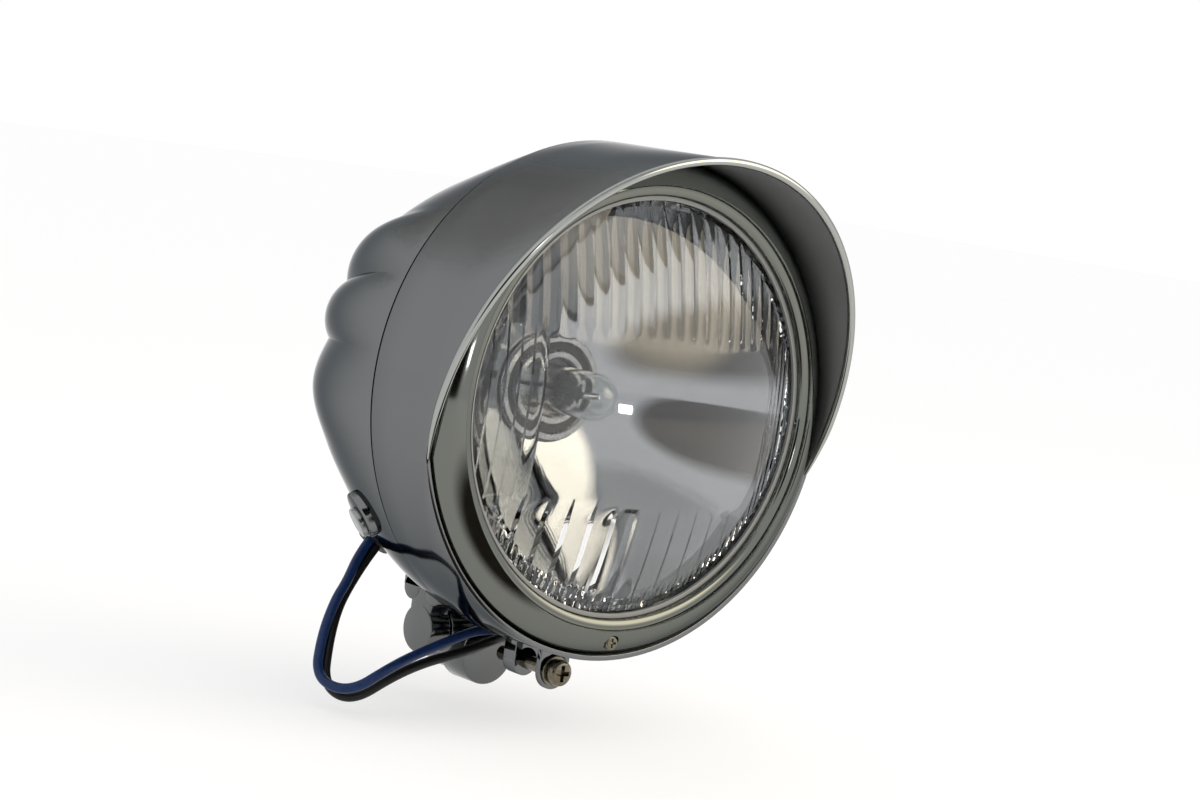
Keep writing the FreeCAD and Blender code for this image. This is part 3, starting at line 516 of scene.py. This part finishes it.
# %% [markdown]
# The rear shell is a deep pressing. Its front edge is round, and towards the back two lobes a side swell
# out between sharp valleys, the belly bulges below them and the top dips. A lattice of points on those
# cross sections gives the mirror finish an even surface, so here the points are worked out and laid down as
# a mesh in one step.

# %% Rear shell sections
SHELL, SHELL_DEPTH, SHELL_POWER = 59.5, 68.8, 1.6
LOBE, BULGE, TOP_DIP = 4.05, 4.05, 3.5
FLUTES = (48, 66, 84)


def shell_reach(share):
    """Radius of the shell's valleys at this share of its depth."""
    return SHELL * math.sqrt(max(0.0, 1 - share ** SHELL_POWER))


def around(radius, turn):
    """A place (x, height) at this radius, turned from the top towards the near side."""
    angle = math.radians(turn)
    return -radius * math.sin(angle), radius * math.cos(angle)


def lobe_line(valley, start, rise, end, count):
    """Points along the circle through two valleys and the crest between them."""
    ax, ay = around(valley, start)
    bx, by = around(valley + rise, (start + end) / 2)
    cx, cy = around(valley, end)
    twice = 2 * (ax * (by - cy) + bx * (cy - ay) + cx * (ay - by))
    squares = [x * x + y * y for x, y in ((ax, ay), (bx, by), (cx, cy))]
    ux = (squares[0] * (by - cy) + squares[1] * (cy - ay) + squares[2] * (ay - by)) / twice
    uy = (squares[0] * (cx - bx) + squares[1] * (ax - cx) + squares[2] * (bx - ax)) / twice
    radius = math.hypot(ax - ux, ay - uy)
    first, last = math.atan2(ay - uy, ax - ux), math.atan2(cy - uy, cx - ux)
    sweep = (last - first) % (2 * math.pi)
    turns = [first + sweep * step / count for step in range(count)]
    return [(ux + radius * math.cos(turn), uy + radius * math.sin(turn)) for turn in turns]


print("valleys half way back at", round(shell_reach(0.5), 1), "mm")

# %% [markdown]
# Below the lobes the belly bulges on a smooth line through a few places. A whole section goes round from
# the near lobes over the belly to the far lobes and back across the top.

# %% Belly and whole sections
BELLY = ((84, 0.0), (97, 1.0), (112, 0.33), (126, -0.1), (150, 0.0), (180, 0.0))
BELLY_BEFORE = (71, -1.4)
LOBE_POINTS, BELLY_POINTS, TOP_POINTS = 18, 128, 60
LOBES_GROWN, DIP_GROWN = 0.6, 0.3


def belly_share(turn):
    """Share of the belly's bulge at a turn, on a smooth line through the belly's places."""
    turn = min(turn, 360 - turn)
    for index in range(len(BELLY) - 1):
        (start, low), (end, high) = BELLY[index], BELLY[index + 1]
        if turn <= end:
            break
    before = BELLY[index - 1] if index else BELLY_BEFORE
    after = BELLY[index + 2] if index + 2 < len(BELLY) else (2 * end - start, low)
    span = end - start
    leave = (high - before[1]) / (end - before[0]) * span
    arrive = (after[1] - low) / (after[0] - start) * span
    t = (turn - start) / span
    return (low * (1 + 2 * t) * (1 - t) ** 2 + leave * t * (1 - t) ** 2
            + high * t * t * (3 - 2 * t) + arrive * t * t * (t - 1))


def shell_ring(share, inset=0.0):
    """One cross section as (x, height) points."""
    valley = shell_reach(share) - inset
    scale = valley / SHELL
    grown = math.sin(QUARTER * min(1.0, share / LOBES_GROWN)) * scale
    dip = TOP_DIP * math.sin(QUARTER * min(1.0, share / DIP_GROWN)) * scale
    first, second, last = FLUTES
    belly_turns = [last + (360 - 2 * last) * step / BELLY_POINTS for step in range(BELLY_POINTS)]
    return (lobe_line(valley, first, LOBE * grown, second, LOBE_POINTS)
            + lobe_line(valley, second, LOBE * grown, last, LOBE_POINTS)
            + [around(valley + BULGE * grown * belly_share(turn), turn) for turn in belly_turns]
            + lobe_line(valley, 360 - last, LOBE * grown, 360 - second, LOBE_POINTS)
            + lobe_line(valley, 360 - second, LOBE * grown, 360 - first, LOBE_POINTS)
            + lobe_line(valley, 360 - first, -dip, 360 + first, TOP_POINTS))


print("points in a section", len(shell_ring(0.5)))

# %% [markdown]
# The sections are set close together near the front and the back, where the shell curves most. The first
# ring turns in behind the band, so that a thin dark seam stays between the two pressings, and its faces take
# the black rubber finish as a painted shadow in that seam.

# %% Rear shell
SHELL_ROWS, SHELL_END, SEAM_GAP = 56, 0.989, 1.1
ROW_SPREAD = 1.15


def lay_rings(name, rings):
    """A mesh over closed rings of the same number of points, with its last ring closed."""
    count = len(rings[0])
    faces = []
    for row in range(len(rings) - 1):
        for step in range(count):
            near, far = row * count + step, row * count + (step + 1) % count
            faces.append((near, far, far + count, near + count))
    faces.append(tuple((len(rings) - 1) * count + step for step in range(count)))
    mesh = bpy.data.meshes.new(name)
    mesh.from_pydata([place for ring_points in rings for place in ring_points], [], faces)
    piece = bpy.data.objects.new(name, mesh)
    bpy.context.collection.objects.link(piece)
    return piece


shares = [SHELL_END * math.sin(QUARTER * step / SHELL_ROWS) ** ROW_SPREAD for step in range(SHELL_ROWS + 1)]
rings = [[spot(x, SEAM + SEAM_GAP, height) for x, height in shell_ring(0.0, WALL)]]
for share in shares:
    rings.append([spot(x, SEAM + SEAM_GAP + share * (SHELL_DEPTH - SEAM_GAP), height)
                  for x, height in shell_ring(share)])
shell = lay_rings("shell_skin", rings)
select_only(shell)
bpy.ops.object.mode_set(mode="EDIT")
bpy.ops.mesh.select_all(action="SELECT")
bpy.ops.mesh.normals_make_consistent(inside=False)
settle(shell, chrome, sharp=24)
# The first ring's faces take the black rubber finish: a painted shadow in the seam.
shell.data.materials.append(rubber_and_painted_shade)
for face in shell.data.polygons[:len(rings[0])]:
    face.material_index = 1
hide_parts("rear_shell")

# %% [markdown]
# A shallow boss stands on the near side of the shell, square to its surface, with a plug in it a little off
# the middle. Both are short rods with rounded edges.

# %% Side boss and plug
BOSS_TURN, BOSS_DEPTH, BOSS_RISE, BOSS_RADIUS, BOSS_ROOT = 125.0, 40.0, 1.7, 5.8, 3.0
PLUG_RADIUS, PLUG_THICK, PLUG_SHIFT = 3.7, 1.2, 1.4
SMALL_SHARE = 0.01


def shell_spot(turn, depth):
    """A place on the belly in millimetres, and the way straight out of it."""
    share = (depth - SEAM) / SHELL_DEPTH
    reach = shell_reach(share)
    fall = (shell_reach(share + SMALL_SHARE) - reach) / (SMALL_SHARE * SHELL_DEPTH)
    x, height = around(1.0, turn)
    return Vector((x * reach, depth, height * reach)), Vector((x, -fall, height)).normalized()


boss_spot, boss_way = shell_spot(BOSS_TURN, BOSS_DEPTH)
boss_top = boss_spot + boss_way * BOSS_RISE
boss = rod("shell_boss", spot(*(boss_spot - boss_way * BOSS_ROOT)), spot(*boss_top), BOSS_RADIUS, 0.6)
settle(boss, chrome)
down_x, down_height = around(PLUG_SHIFT, BOSS_TURN + 90)
plug_seat = boss_top + Vector((down_x, 0, down_height))
plug_top = plug_seat + boss_way * PLUG_THICK
plug = rod("boss_cap", spot(*(plug_seat - boss_way)), spot(*plug_top), PLUG_RADIUS, 0.35)
settle(plug, steel)
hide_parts("boss_plug")

# %% [markdown]
# The mount is a plated die casting in two pieces. The foot has a round ear on a short post and a pad with
# round ends that meets the shell. The base has a barrel, a hub with the fixing thread, and a boss that
# meets the ear.

# %% Mount foot
PIVOT_DEPTH, PIVOT_LEVEL = 53.0, -62.7
EAR_RADIUS, EAR_OUTSIDE, EAR_INSIDE = 5.85, -17.0, -11.1
PAD_LEVEL, PAD_ROUND, PAD_HALF, PAD_INSIDE, PAD_TOP = -53.2, 3.2, 4.35, -8.0, -45.0
POST_HALF, POST_INSET = 4.1, 0.2


def cross_rod(name, start, end, depth, level, radius, edge=0.5):
    """A rod across the lamp, from one x to another."""
    return rod(name, spot(start, depth, level), spot(end, depth, level), radius, edge)


foot_parts = [
    cross_rod("foot_ear", EAR_OUTSIDE, EAR_INSIDE, PIVOT_DEPTH, PIVOT_LEVEL, EAR_RADIUS),
    cross_rod("pad_front", EAR_OUTSIDE, PAD_INSIDE, PIVOT_DEPTH - PAD_HALF, PAD_LEVEL, PAD_ROUND),
    cross_rod("pad_back", EAR_OUTSIDE, PAD_INSIDE, PIVOT_DEPTH + PAD_HALF, PAD_LEVEL, PAD_ROUND),
    block("foot_post", spot(EAR_OUTSIDE + POST_INSET, PIVOT_DEPTH - POST_HALF, PIVOT_LEVEL),
          spot(EAR_INSIDE, PIVOT_DEPTH + POST_HALF, PAD_TOP), 0.5),
    block("foot_pad", spot(EAR_OUTSIDE, PIVOT_DEPTH - PAD_HALF - PAD_ROUND, PAD_LEVEL),
          spot(PAD_INSIDE, PIVOT_DEPTH + PAD_HALF + PAD_ROUND, PAD_TOP), 0.3),
]
foot = settle(joined("foot_casting", foot_parts), cast_chrome)
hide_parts("mount_foot")

# %% [markdown]
# The base's parts are rods along the lamp and across it. The hub's threaded hole is cut as a drill would
# cut it.

# %% Mount base
MOUNT_LEVEL = -AXIS_HEIGHT
MOUNT_MOUTH = -RIM_DEPTH
BARREL_FRONT, BARREL_BACK, BARREL_RADIUS, HUB_RADIUS = 45.5, 55.0, 7.8, 6.5
THREAD_RADIUS, THREAD_LENGTH = 3.4, 7.6
KNUCKLE_SIDE, SEAT_SIDE, SEAT_RADIUS = -10.6, 8.0, 4.8
OVERLAP = 1.0


def long_rod(name, front, back, level, radius, edge=0.4):
    """A rod along the lamp, from one depth to another."""
    return rod(name, spot(0, front, level), spot(0, back, level), radius, edge)


base_parts = [
    long_rod("barrel", BARREL_FRONT, BARREL_BACK, MOUNT_LEVEL, BARREL_RADIUS, 0.6),
    cross_rod("knuckle", KNUCKLE_SIDE, 0.0, PIVOT_DEPTH, PIVOT_LEVEL, EAR_RADIUS),
    cross_rod("head_seat", 0.0, SEAT_SIDE, PIVOT_DEPTH, PIVOT_LEVEL, SEAT_RADIUS),
]
hub = long_rod("hub", BARREL_BACK - OVERLAP, MOUNT_MOUTH, MOUNT_LEVEL, HUB_RADIUS, 0.5)
thread_end = MOUNT_MOUTH - THREAD_LENGTH
thread = long_rod("thread", thread_end, MOUNT_MOUTH + OVERLAP, MOUNT_LEVEL, THREAD_RADIUS, 0.0)
cut_out(hub, [thread])
base = settle(joined("base_casting", base_parts + [hub]), cast_chrome, body="base")
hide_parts("mount_base")

# %% [markdown]
# The clamp screw has a pan head with a cross recess and sits on a washer. The recess is two slots cut across
# the head.

# %% Clamp screw and washer
HEAD_FRONT, HEAD_BACK, WASHER_BACK, SHANK_BACK = 16.9, 19.5, 20.3, 40.5
SHANK_RADIUS, WASHER_RADIUS, SHANK_ROOT = 1.75, 3.8, 0.3


def cross_screw(name, head_radius, front, back, level, slot_width, slot_span, slot_depth, edge):
    """A screw head facing forward, with a cross recess."""
    head = long_rod(name, front, back, level, head_radius, edge)
    half, wide = slot_width / 2, slot_span / 2
    ahead, deep = front - OVERLAP, front + slot_depth
    cut_out(head, [
        block("flat_slot", spot(-wide, ahead, level - half), spot(wide, deep, level + half), 0.0),
        block("upright_slot", spot(-half, ahead, level - wide), spot(half, deep, level + wide), 0.0),
    ])
    return head


head = cross_screw("clamp_head", head_radius=3.2, front=HEAD_FRONT, back=HEAD_BACK, level=CLAMP_LEVEL,
                   slot_width=1.1, slot_span=4.0, slot_depth=1.5, edge=0.9)
shank = long_rod("clamp_shank", HEAD_BACK - SHANK_ROOT, SHANK_BACK, CLAMP_LEVEL, SHANK_RADIUS, 0.3)
clamp = settle(joined("clamp_pan_screw", [head, shank]), nickel)
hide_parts("clamp_screw")
disc = long_rod("clamp_disc", HEAD_BACK, WASHER_BACK, CLAMP_LEVEL, WASHER_RADIUS, 0.2)
washer = settle(disc, nickel)
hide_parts("clamp_washer")

# %% [markdown]
# The rim has a smaller screw, sunk into a drilled seat. The rim is shaded again after the cut.

# %% Screw in the rim
RIM_SCREW_LEVEL, RIM_SEAT_RADIUS, RIM_SEAT_END = -55.0, 1.9, 2.6
cut_out(rim, [long_rod("rim_seat", -OVERLAP, RIM_SEAT_END, RIM_SCREW_LEVEL, RIM_SEAT_RADIUS, 0.0)])
# Again with the rim's warm tone, a painted reflection.
settle(rim, rim_painted_reflection_chrome, sharp=40)
small_head = cross_screw("rim_pan_screw", head_radius=1.7, front=0.8, back=3.2, level=RIM_SCREW_LEVEL,
                         slot_width=0.5, slot_span=2.2, slot_depth=0.5, edge=0.3)
settle(small_head, nickel)
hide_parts("rim_screw")

# %% [markdown]
# The glass is pressed, with a smooth domed front. Its back has fields of flutes that spread the beam:
# upright ones across the top and down both sides, broad prisms across the bottom, and a row of fine ones
# along the lower edge. The middle is left clear. Each field has a pitch and a height in millimetres, and
# fades in over its border.

# %% Shape of the flutes
GLASS_EDGE, DOME_EDGE, DOME_RADIUS, GLASS_FRONT = 50.4, 48.4, 127.0, 3.5
TOP_PITCH, TOP_HEIGHT = 4.1, 0.32
LEFT_PITCH, LEFT_HEIGHT = 3.1, 0.4
LOW_PITCH, LOW_TALL, LOW_FLAT = 6.2, 1.8, 0.3
FINE_PITCH, FINE_HEIGHT, RIGHT_HEIGHT = 1.7, 0.3, 0.12
TOP_BORDER, LEFT_BORDER, RIGHT_BORDER = (15.0, 18.0), (30.0, 33.0), (38.0, 40.0)
FINE_BORDER, FINE_LEVEL = (44.0, 44.8), (24.0, 26.0)
LOW_BORDER, LOW_TIGHTER, TIGHTER_BORDER = (20.0, 27.0), (2.5, 3.0), (-10.0, -4.0)
FLATTER_BORDER = (-6.0, 6.0)


def front_depth(radius):
    """Depth of the glass's front at this radius."""
    at_edge = math.sqrt(DOME_RADIUS ** 2 - DOME_EDGE ** 2)
    return GLASS_FRONT - max(0.0, math.sqrt(DOME_RADIUS ** 2 - radius ** 2) - at_edge)


def rounded_flute(place, pitch):
    """A row of rounded flutes, 0 in the grooves and 1 on the crests."""
    share = 2 * ((place / pitch) % 1.0) - 1
    return 1 - share * share


def between(value, low, high):
    """0 below low, 1 above high and a smooth step from one to the other."""
    share = min(1.0, max(0.0, (value - low) / (high - low)))
    return share * share * (3 - 2 * share)


def flute_depth(x, height):
    """How far the flutes stand out of the back at a place, in millimetres."""
    radius = math.hypot(x, height)
    top = between(height, *TOP_BORDER)
    tighter = between(x, *TIGHTER_BORDER)
    low = between(-height, LOW_BORDER[0] + LOW_TIGHTER[0] * tighter, LOW_BORDER[1] - LOW_TIGHTER[1] * tighter)
    left = between(-x, *LEFT_BORDER) * (1 - top) * (1 - low)
    right = between(x, *RIGHT_BORDER) * (1 - top)
    fine = between(radius, *FINE_BORDER) * between(-height, *FINE_LEVEL)
    prism = LOW_TALL - (LOW_TALL - LOW_FLAT) * between(x, *FLATTER_BORDER)
    depth = TOP_HEIGHT * top * rounded_flute(x, TOP_PITCH) + LEFT_HEIGHT * left * ((x / LEFT_PITCH) % 1.0)
    depth += RIGHT_HEIGHT * right * rounded_flute(x, FINE_PITCH)
    depth += prism * low * (1 - right) * ((x / LOW_PITCH) % 1.0)
    return depth * (1 - fine) + FINE_HEIGHT * fine * rounded_flute(x, FINE_PITCH)


print("glass stands out", round(-front_depth(0.0), 2), "mm before the rim")

# %% [markdown]
# A fine grid is laid into a round disc and given its thickness with Solidify. The vertices of its back are
# then set to the flutes' depth, which no stock tool would shape, and the edge is thinned for the seal.

# %% Fluted glass
GLASS_THICK, EDGE_THINNED, EDGE_BAND, FLUTES_END = 3.0, 1.5, 1.0, 48.0
COLUMNS, ROWS, SHORT_OF_EDGE = 300, 100, 0.999
bpy.ops.object.select_all(action="DESELECT")
bpy.ops.mesh.primitive_grid_add(x_subdivisions=COLUMNS, y_subdivisions=ROWS, size=2.0, location=(0, 0, 0))
lens = bpy.context.object
lens.name = "lens_fluted"
for vertex in lens.data.vertices:
    across, along = vertex.co.x, vertex.co.y
    x = GLASS_EDGE * math.sin(across * QUARTER * SHORT_OF_EDGE)
    height = along * math.sqrt(GLASS_EDGE ** 2 - x ** 2)
    vertex.co = spot(x, front_depth(math.hypot(x, height)), height)
select_only(lens)
bpy.ops.object.mode_set(mode="EDIT")
bpy.ops.mesh.select_all(action="SELECT")
bpy.ops.mesh.normals_make_consistent(inside=False)
bpy.ops.object.mode_set(mode="OBJECT")
facing = lens.data.polygons[len(lens.data.polygons) // 2].normal.y
front_count = len(lens.data.vertices)
finish_with(lens, "SOLIDIFY", thickness=GLASS_THICK * MM, offset=1.0 if facing > 0 else -1.0)
for vertex in lens.data.vertices[front_count:]:
    x = vertex.co.x / MM
    height = vertex.co.z / MM - AXIS_HEIGHT
    radius = min(math.hypot(x, height), GLASS_EDGE)
    thick = GLASS_THICK - EDGE_THINNED * between(radius, DOME_EDGE - EDGE_BAND, DOME_EDGE)
    flutes = flute_depth(x, height) * (radius < FLUTES_END)
    vertex.co.y = spot(0, front_depth(radius) + thick + flutes, 0).y
settle(lens, lens_clear, sharp=14)
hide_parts("lens_glass")

# %% [markdown]
# The reflector is a parabola, spun from points on its curve, with a flange that reaches forward to the
# glass.

# %% Reflector
FOCUS_TIMES_FOUR, BOWL_EDGE, BOWL_HOLE, FLANGE = 76.8, 48.0, 13.0, 7.0
BOWL_WALL, CURVE_STEPS = 1.0, 28


def bowl_depth(radius):
    """Depth of the reflector's face at this radius."""
    return FLANGE + (BOWL_EDGE ** 2 - radius ** 2) / FOCUS_TIMES_FOUR


narrowing = BOWL_HOLE - BOWL_EDGE
bowl_radii = [BOWL_EDGE + narrowing * step / CURVE_STEPS for step in range(CURVE_STEPS + 1)]
bowl_face = [(bowl_depth(radius), radius) for radius in bowl_radii]
bowl_back = [(depth + BOWL_WALL, radius) for depth, radius in reversed(bowl_face)]
flange = [(FLANGE + BOWL_WALL, GLASS_EDGE), (5.2, GLASS_EDGE), (5.3, 49.0)]
bowl = turned("reflector_bowl", flange + bowl_face + bowl_back)
settle(bowl, mirror_coat)
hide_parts("reflector")

# %% [markdown]
# The holder sits in the bowl's middle, with a groove round its face whose floor is painted dark, a painted
# shade in the recess. It takes a small clear bulb, a tube with a wall and a round tip that reaches forward
# along the axis.

# %% Bulb and its holder
HOLDER_FRONT, HOLDER_BACK, GROOVE, SEAT = 33.8, 40.8, 34.5, 39.6
AT_GROOVE = 0.1
holder = turned("bulb_seat", [
    (34.2, 7.0), (HOLDER_FRONT, 7.4), (HOLDER_FRONT, 8.6), (GROOVE, 9.0), (GROOVE, 10.8),
    (HOLDER_FRONT, 11.2), (HOLDER_FRONT, 12.5), (34.2, 12.9), (35.8, 12.9), (35.8, 15.0),
    (HOLDER_BACK, 15.0), (HOLDER_BACK, 11.1), (SEAT, 11.1), (SEAT, 7.0)])
settle(holder, steel, sharp=30)
# The groove's floor takes the black rubber finish: painted shade in the recess.
holder.data.materials.append(rubber_and_painted_shade)
for face in holder.data.polygons:
    if abs(face.center.y - spot(0, GROOVE, 0).y) < AT_GROOVE * MM:
        face.material_index = 1
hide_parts("bulb_holder")

BULB_TIP, BULB_RADIUS, BULB_WALL = 14.6, 5.6, 0.8
BEND_STEPS = 14
bend = [QUARTER * step / BEND_STEPS for step in range(BEND_STEPS + 1)]
tip_centre = BULB_TIP + BULB_RADIUS
outside = [(tip_centre - BULB_RADIUS * math.cos(turn), BULB_RADIUS * math.sin(turn)) for turn in bend]
inner = BULB_RADIUS - BULB_WALL
inside = [(tip_centre - inner * math.cos(turn), inner * math.sin(turn)) for turn in reversed(bend)]
tube_end = [(SEAT, BULB_RADIUS), (SEAT, inner)]
bulb = turned("bulb_envelope", outside + tube_end + inside, closed=False)
settle(bulb, bulb_clear, sharp=40)
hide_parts("bulb_glass")

# %% [markdown]
# The leads are two thin vinyl-jacketed wires. They leave the grommet, hang in a loop, pass in front of the
# mount and end in bullet sleeves behind the ring. A NURBS curve through the same points as the solid gives
# the bend.

# %% Leads
LEAD, LEAD_STRAIGHT, LEAD_GAP = 2.4, 4.5, 0.05
GROMMET_TURN, GROMMET_DEPTH, GROMMET_RISE = 143.0, 55.0, 2.0
BLUE_ROUTE = [
    (-40.0, 52.4, -51.4), (-43.7, 51.0, -55.5), (-47.6, 49.0, -63.6), (-50.9, 44.9, -72.8),
    (-47.8, 35.2, -74.2), (-38.5, 32.8, -67.5), (-29.0, 35.8, -65.1), (-19.7, 36.8, -62.4),
    (-9.7, 39.3, -60.2), (0.3, 40.6, -60.5), (9.9, 42.8, -59.3), (19.0, 46.0, -57.6),
]
BLACK_ROUTE = [
    (-37.9, 54.7, -53.5), (-42.3, 51.8, -58.3), (-45.6, 48.8, -65.6), (-48.5, 44.6, -74.5),
    (-43.9, 39.1, -77.2), (-33.6, 37.7, -70.7), (-23.7, 38.7, -67.7), (-15.0, 39.6, -66.3),
    (-5.5, 41.2, -64.1), (3.5, 43.0, -62.15), (12.9, 45.4, -61.9), (22.0, 48.6, -61.2),
]
grommet_reach = shell_reach((GROMMET_DEPTH - SEAM) / SHELL_DEPTH) + GROMMET_RISE
out_x, out_height = around(1.0, GROMMET_TURN)
grommet_way = Vector((out_x, 0, out_height))
grommet_top = grommet_way * grommet_reach + Vector((0, GROMMET_DEPTH, 0))
spread = grommet_way.cross(Vector((0, 1, 0))).normalized() * (LEAD / 2 + LEAD_GAP)


def lay_lead(name, side, route, material, node):
    """One lead as a round NURBS curve, with its finish, riding on the head; the solid lead is hidden."""
    start = grommet_top + spread * side
    points = [start, start + grommet_way * LEAD_STRAIGHT] + [Vector(place) for place in route]
    places = [spot(*place) for place in points]
    lead, line = round_curve(name, "NURBS", places, radius_mm=LEAD / 2, resolution=5)
    line.order_u = 3
    line.use_endpoint_u = True
    line.resolution_u = 10
    paint(lead, material)
    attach(lead, "head")
    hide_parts(node)
    print(name, "points", len(points))


lay_lead("blue_wire", -1, BLUE_ROUTE, blue_vinyl,
         "blue_lead")
lay_lead("black_wire", 1, BLACK_ROUTE, black_vinyl,
         "black_lead")

# %% [markdown]
# The studio has a pale floor and the same white behind it. Where the camera, a reflection or the glass
# looks at the floor, it glows in part. It stays in part a lit surface, so that it keeps the lamp's shadow.

# %% Floor
FLOOR_LEVEL, FLOOR_WIDTH, GLOW_SHARE = -79.9, 8.0, 0.6
bpy.ops.object.select_all(action="DESELECT")
bpy.ops.mesh.primitive_plane_add(size=FLOOR_WIDTH, location=spot(0, 0, FLOOR_LEVEL))
floor = bpy.context.object
floor.name = "studio_floor"
floor_paint, tree, shader = new_finish("pale_floor", "fafafa", Roughness=0.9)
output = [node for node in tree.nodes if node.type == "OUTPUT_MATERIAL"][0]
path = add_node(tree, "ShaderNodeLightPath")
rays = [path.outputs[kind] for kind in ("Is Camera Ray", "Is Glossy Ray", "Is Transmission Ray")]
first = add_node(tree, "ShaderNodeMath", {0: rays[0], 1: rays[1]}, operation="MAXIMUM")
seen = add_node(tree, "ShaderNodeMath", {0: first.outputs[0], 1: rays[2]}, operation="MAXIMUM")
share = add_node(tree, "ShaderNodeMath", {0: seen.outputs[0], 1: GLOW_SHARE}, operation="MULTIPLY")
glow = add_node(tree, "ShaderNodeEmission", {"Color": linear("ffffff"), "Strength": 1.0})
mix = add_node(tree, "ShaderNodeMixShader", {
    0: share.outputs[0],
    1: shader.outputs["BSDF"],
    2: glow.outputs[0],
})
tree.links.new(mix.outputs[0], output.inputs["Surface"])
paint(floor, floor_paint)
print("floor at", round(spot(0, 0, FLOOR_LEVEL).z, 4))

# %% [markdown]
# Plain white light comes from all around, as in a light tent.

# %% World
world = bpy.data.worlds.new("white_room")
bpy.context.scene.world = world
world.use_nodes = True
tree = world.node_tree
tree.nodes.clear()
white = add_node(tree, "ShaderNodeBackground", {"Color": linear("ffffff"), "Strength": 1.0})
add_node(tree, "ShaderNodeOutputWorld", {"Surface": white.outputs[0]})
print("world", world.name)

# %% [markdown]
# Chrome and a mirror only look like metal when they have something dark and something bright to show. So a
# dark cloth hangs behind the camera, a brown mat lies below the glass, and a large warm panel glows at the
# right. Grey cloths above and behind give the peak and the shell their tones. All fade out towards their
# edges, and none is in any picture: only reflections show them.

# %% Soft cards
LAMP_MIDDLE = spot(0, 20, 0)


def soft_card(name, place, width, height, colour, glow, fade):
    """A card that faces the lamp and fades out from its middle; glow is how bright it shines."""
    bpy.ops.object.select_all(action="DESELECT")
    bpy.ops.mesh.primitive_plane_add(size=1.0, location=(0, 0, 0))
    card = bpy.context.object
    card.name = name
    card.scale = (width * MM, height * MM, 1.0)
    card.location = spot(*place)
    card.rotation_euler = (LAMP_MIDDLE - card.location).to_track_quat("Z", "Y").to_euler()
    bpy.ops.object.transform_apply(location=True, rotation=True, scale=True)
    card.visible_camera = False
    card.visible_shadow = False
    card.visible_diffuse = glow > 0
    cloth, tree, shader = new_finish(name + "_cloth", "000000" if glow else colour, Roughness=0.9)
    shader.inputs["Emission Color"].default_value = linear(colour)
    shader.inputs["Emission Strength"].default_value = glow
    texture = add_node(tree, "ShaderNodeTexCoord")
    centred = add_node(tree, "ShaderNodeMapping", {
        "Vector": texture.outputs["UV"],
        "Location": (-1.0, -1.0, 0.0),
        "Scale": (2.0, 2.0, 1.0),
    })
    middle = add_node(tree, "ShaderNodeTexGradient", {"Vector": centred.outputs[0]},
                      gradient_type="SPHERICAL")
    soft = add_node(tree, "ShaderNodeMapRange", {"Value": middle.outputs["Fac"], "From Max": fade},
                    interpolation_type="SMOOTHSTEP")
    tree.links.new(soft.outputs[0], shader.inputs["Alpha"])
    paint(card, cloth)
    print(name, [round(value, 3) for value in spot(*place)])


soft_card("dark_card", (-530, -600, 120), 860, 640, "120d0a", glow=0.0, fade=0.4)
soft_card("brown_mat", (-23, -47, -50), 120, 74, "4a4238", glow=0.0, fade=0.5)
soft_card("warm_panel", (440, -440, 310), 900, 700, "fff4de", glow=3.8, fade=0.35)
soft_card("grey_ceiling", (0, -380, 640), 1100, 800, "b4b8bc", glow=0.0, fade=0.4)
soft_card("grey_backdrop", (-63, 543, 462), 800, 600, "c6c6c6", glow=0.0, fade=0.7)

# %% [markdown]
# One small bright lamp stands straight ahead. It gives the sharp glint beside the bulb.

# %% Lamp
LAMP_PLACE, LAMP_WIDTH, LAMP_HEIGHT, LAMP_POWER = (-180, -780, 60), 90, 70, 0.25
light = bpy.data.lights.new("front_lamp", "AREA")
light.shape = "RECTANGLE"
light.size, light.size_y = LAMP_WIDTH * MM, LAMP_HEIGHT * MM
light.energy = LAMP_POWER
lamp = bpy.data.objects.new("front_lamp", light)
bpy.context.collection.objects.link(lamp)
lamp.location = spot(*LAMP_PLACE)
lamp.rotation_euler = (LAMP_MIDDLE - lamp.location).to_track_quat("-Z", "Y").to_euler()
print("lamp", light.energy, "W")

# %% [markdown]
# The camera stands in front, to the left and a little above, as in the photograph, with a short telephoto
# lens. It is turned a little about its own line of sight, because the lamp leans in the picture.

# %% Camera
AZIMUTH, ELEVATION, ROLL = -0.7224607, 0.0919756, 0.1408967
DISTANCE, FOCUS_PIXELS, OFFSET = 710.04, 3080.26, (47.6, -10.64)
PICTURE_WIDTH = 1200

back = Vector((math.sin(AZIMUTH) * math.cos(ELEVATION), -math.cos(AZIMUTH) * math.cos(ELEVATION),
               math.sin(ELEVATION)))
right = Vector((math.cos(AZIMUTH), math.sin(AZIMUTH), 0))
upward = back.cross(right)
leaned_right = right * math.cos(ROLL) + upward * math.sin(ROLL)
leaned_up = upward * math.cos(ROLL) - right * math.sin(ROLL)
camera_data = bpy.data.cameras.new("camera")
camera = bpy.data.objects.new("camera", camera_data)
bpy.context.collection.objects.link(camera)
turn = Matrix((leaned_right, leaned_up, back)).transposed()
camera.matrix_world = Matrix.Translation(AXIS + back * DISTANCE * MM) @ turn.to_4x4()
camera_data.sensor_width = 36.0
camera_data.lens = camera_data.sensor_width * FOCUS_PIXELS / PICTURE_WIDTH
camera_data.shift_x = -OFFSET[0] / PICTURE_WIDTH
camera_data.shift_y = -OFFSET[1] / PICTURE_WIDTH
camera_data.clip_start = 0.01
bpy.context.scene.camera = camera
bpy.context.scene.view_settings.view_transform = "Standard"
print("lens", round(camera_data.lens, 1), "mm")
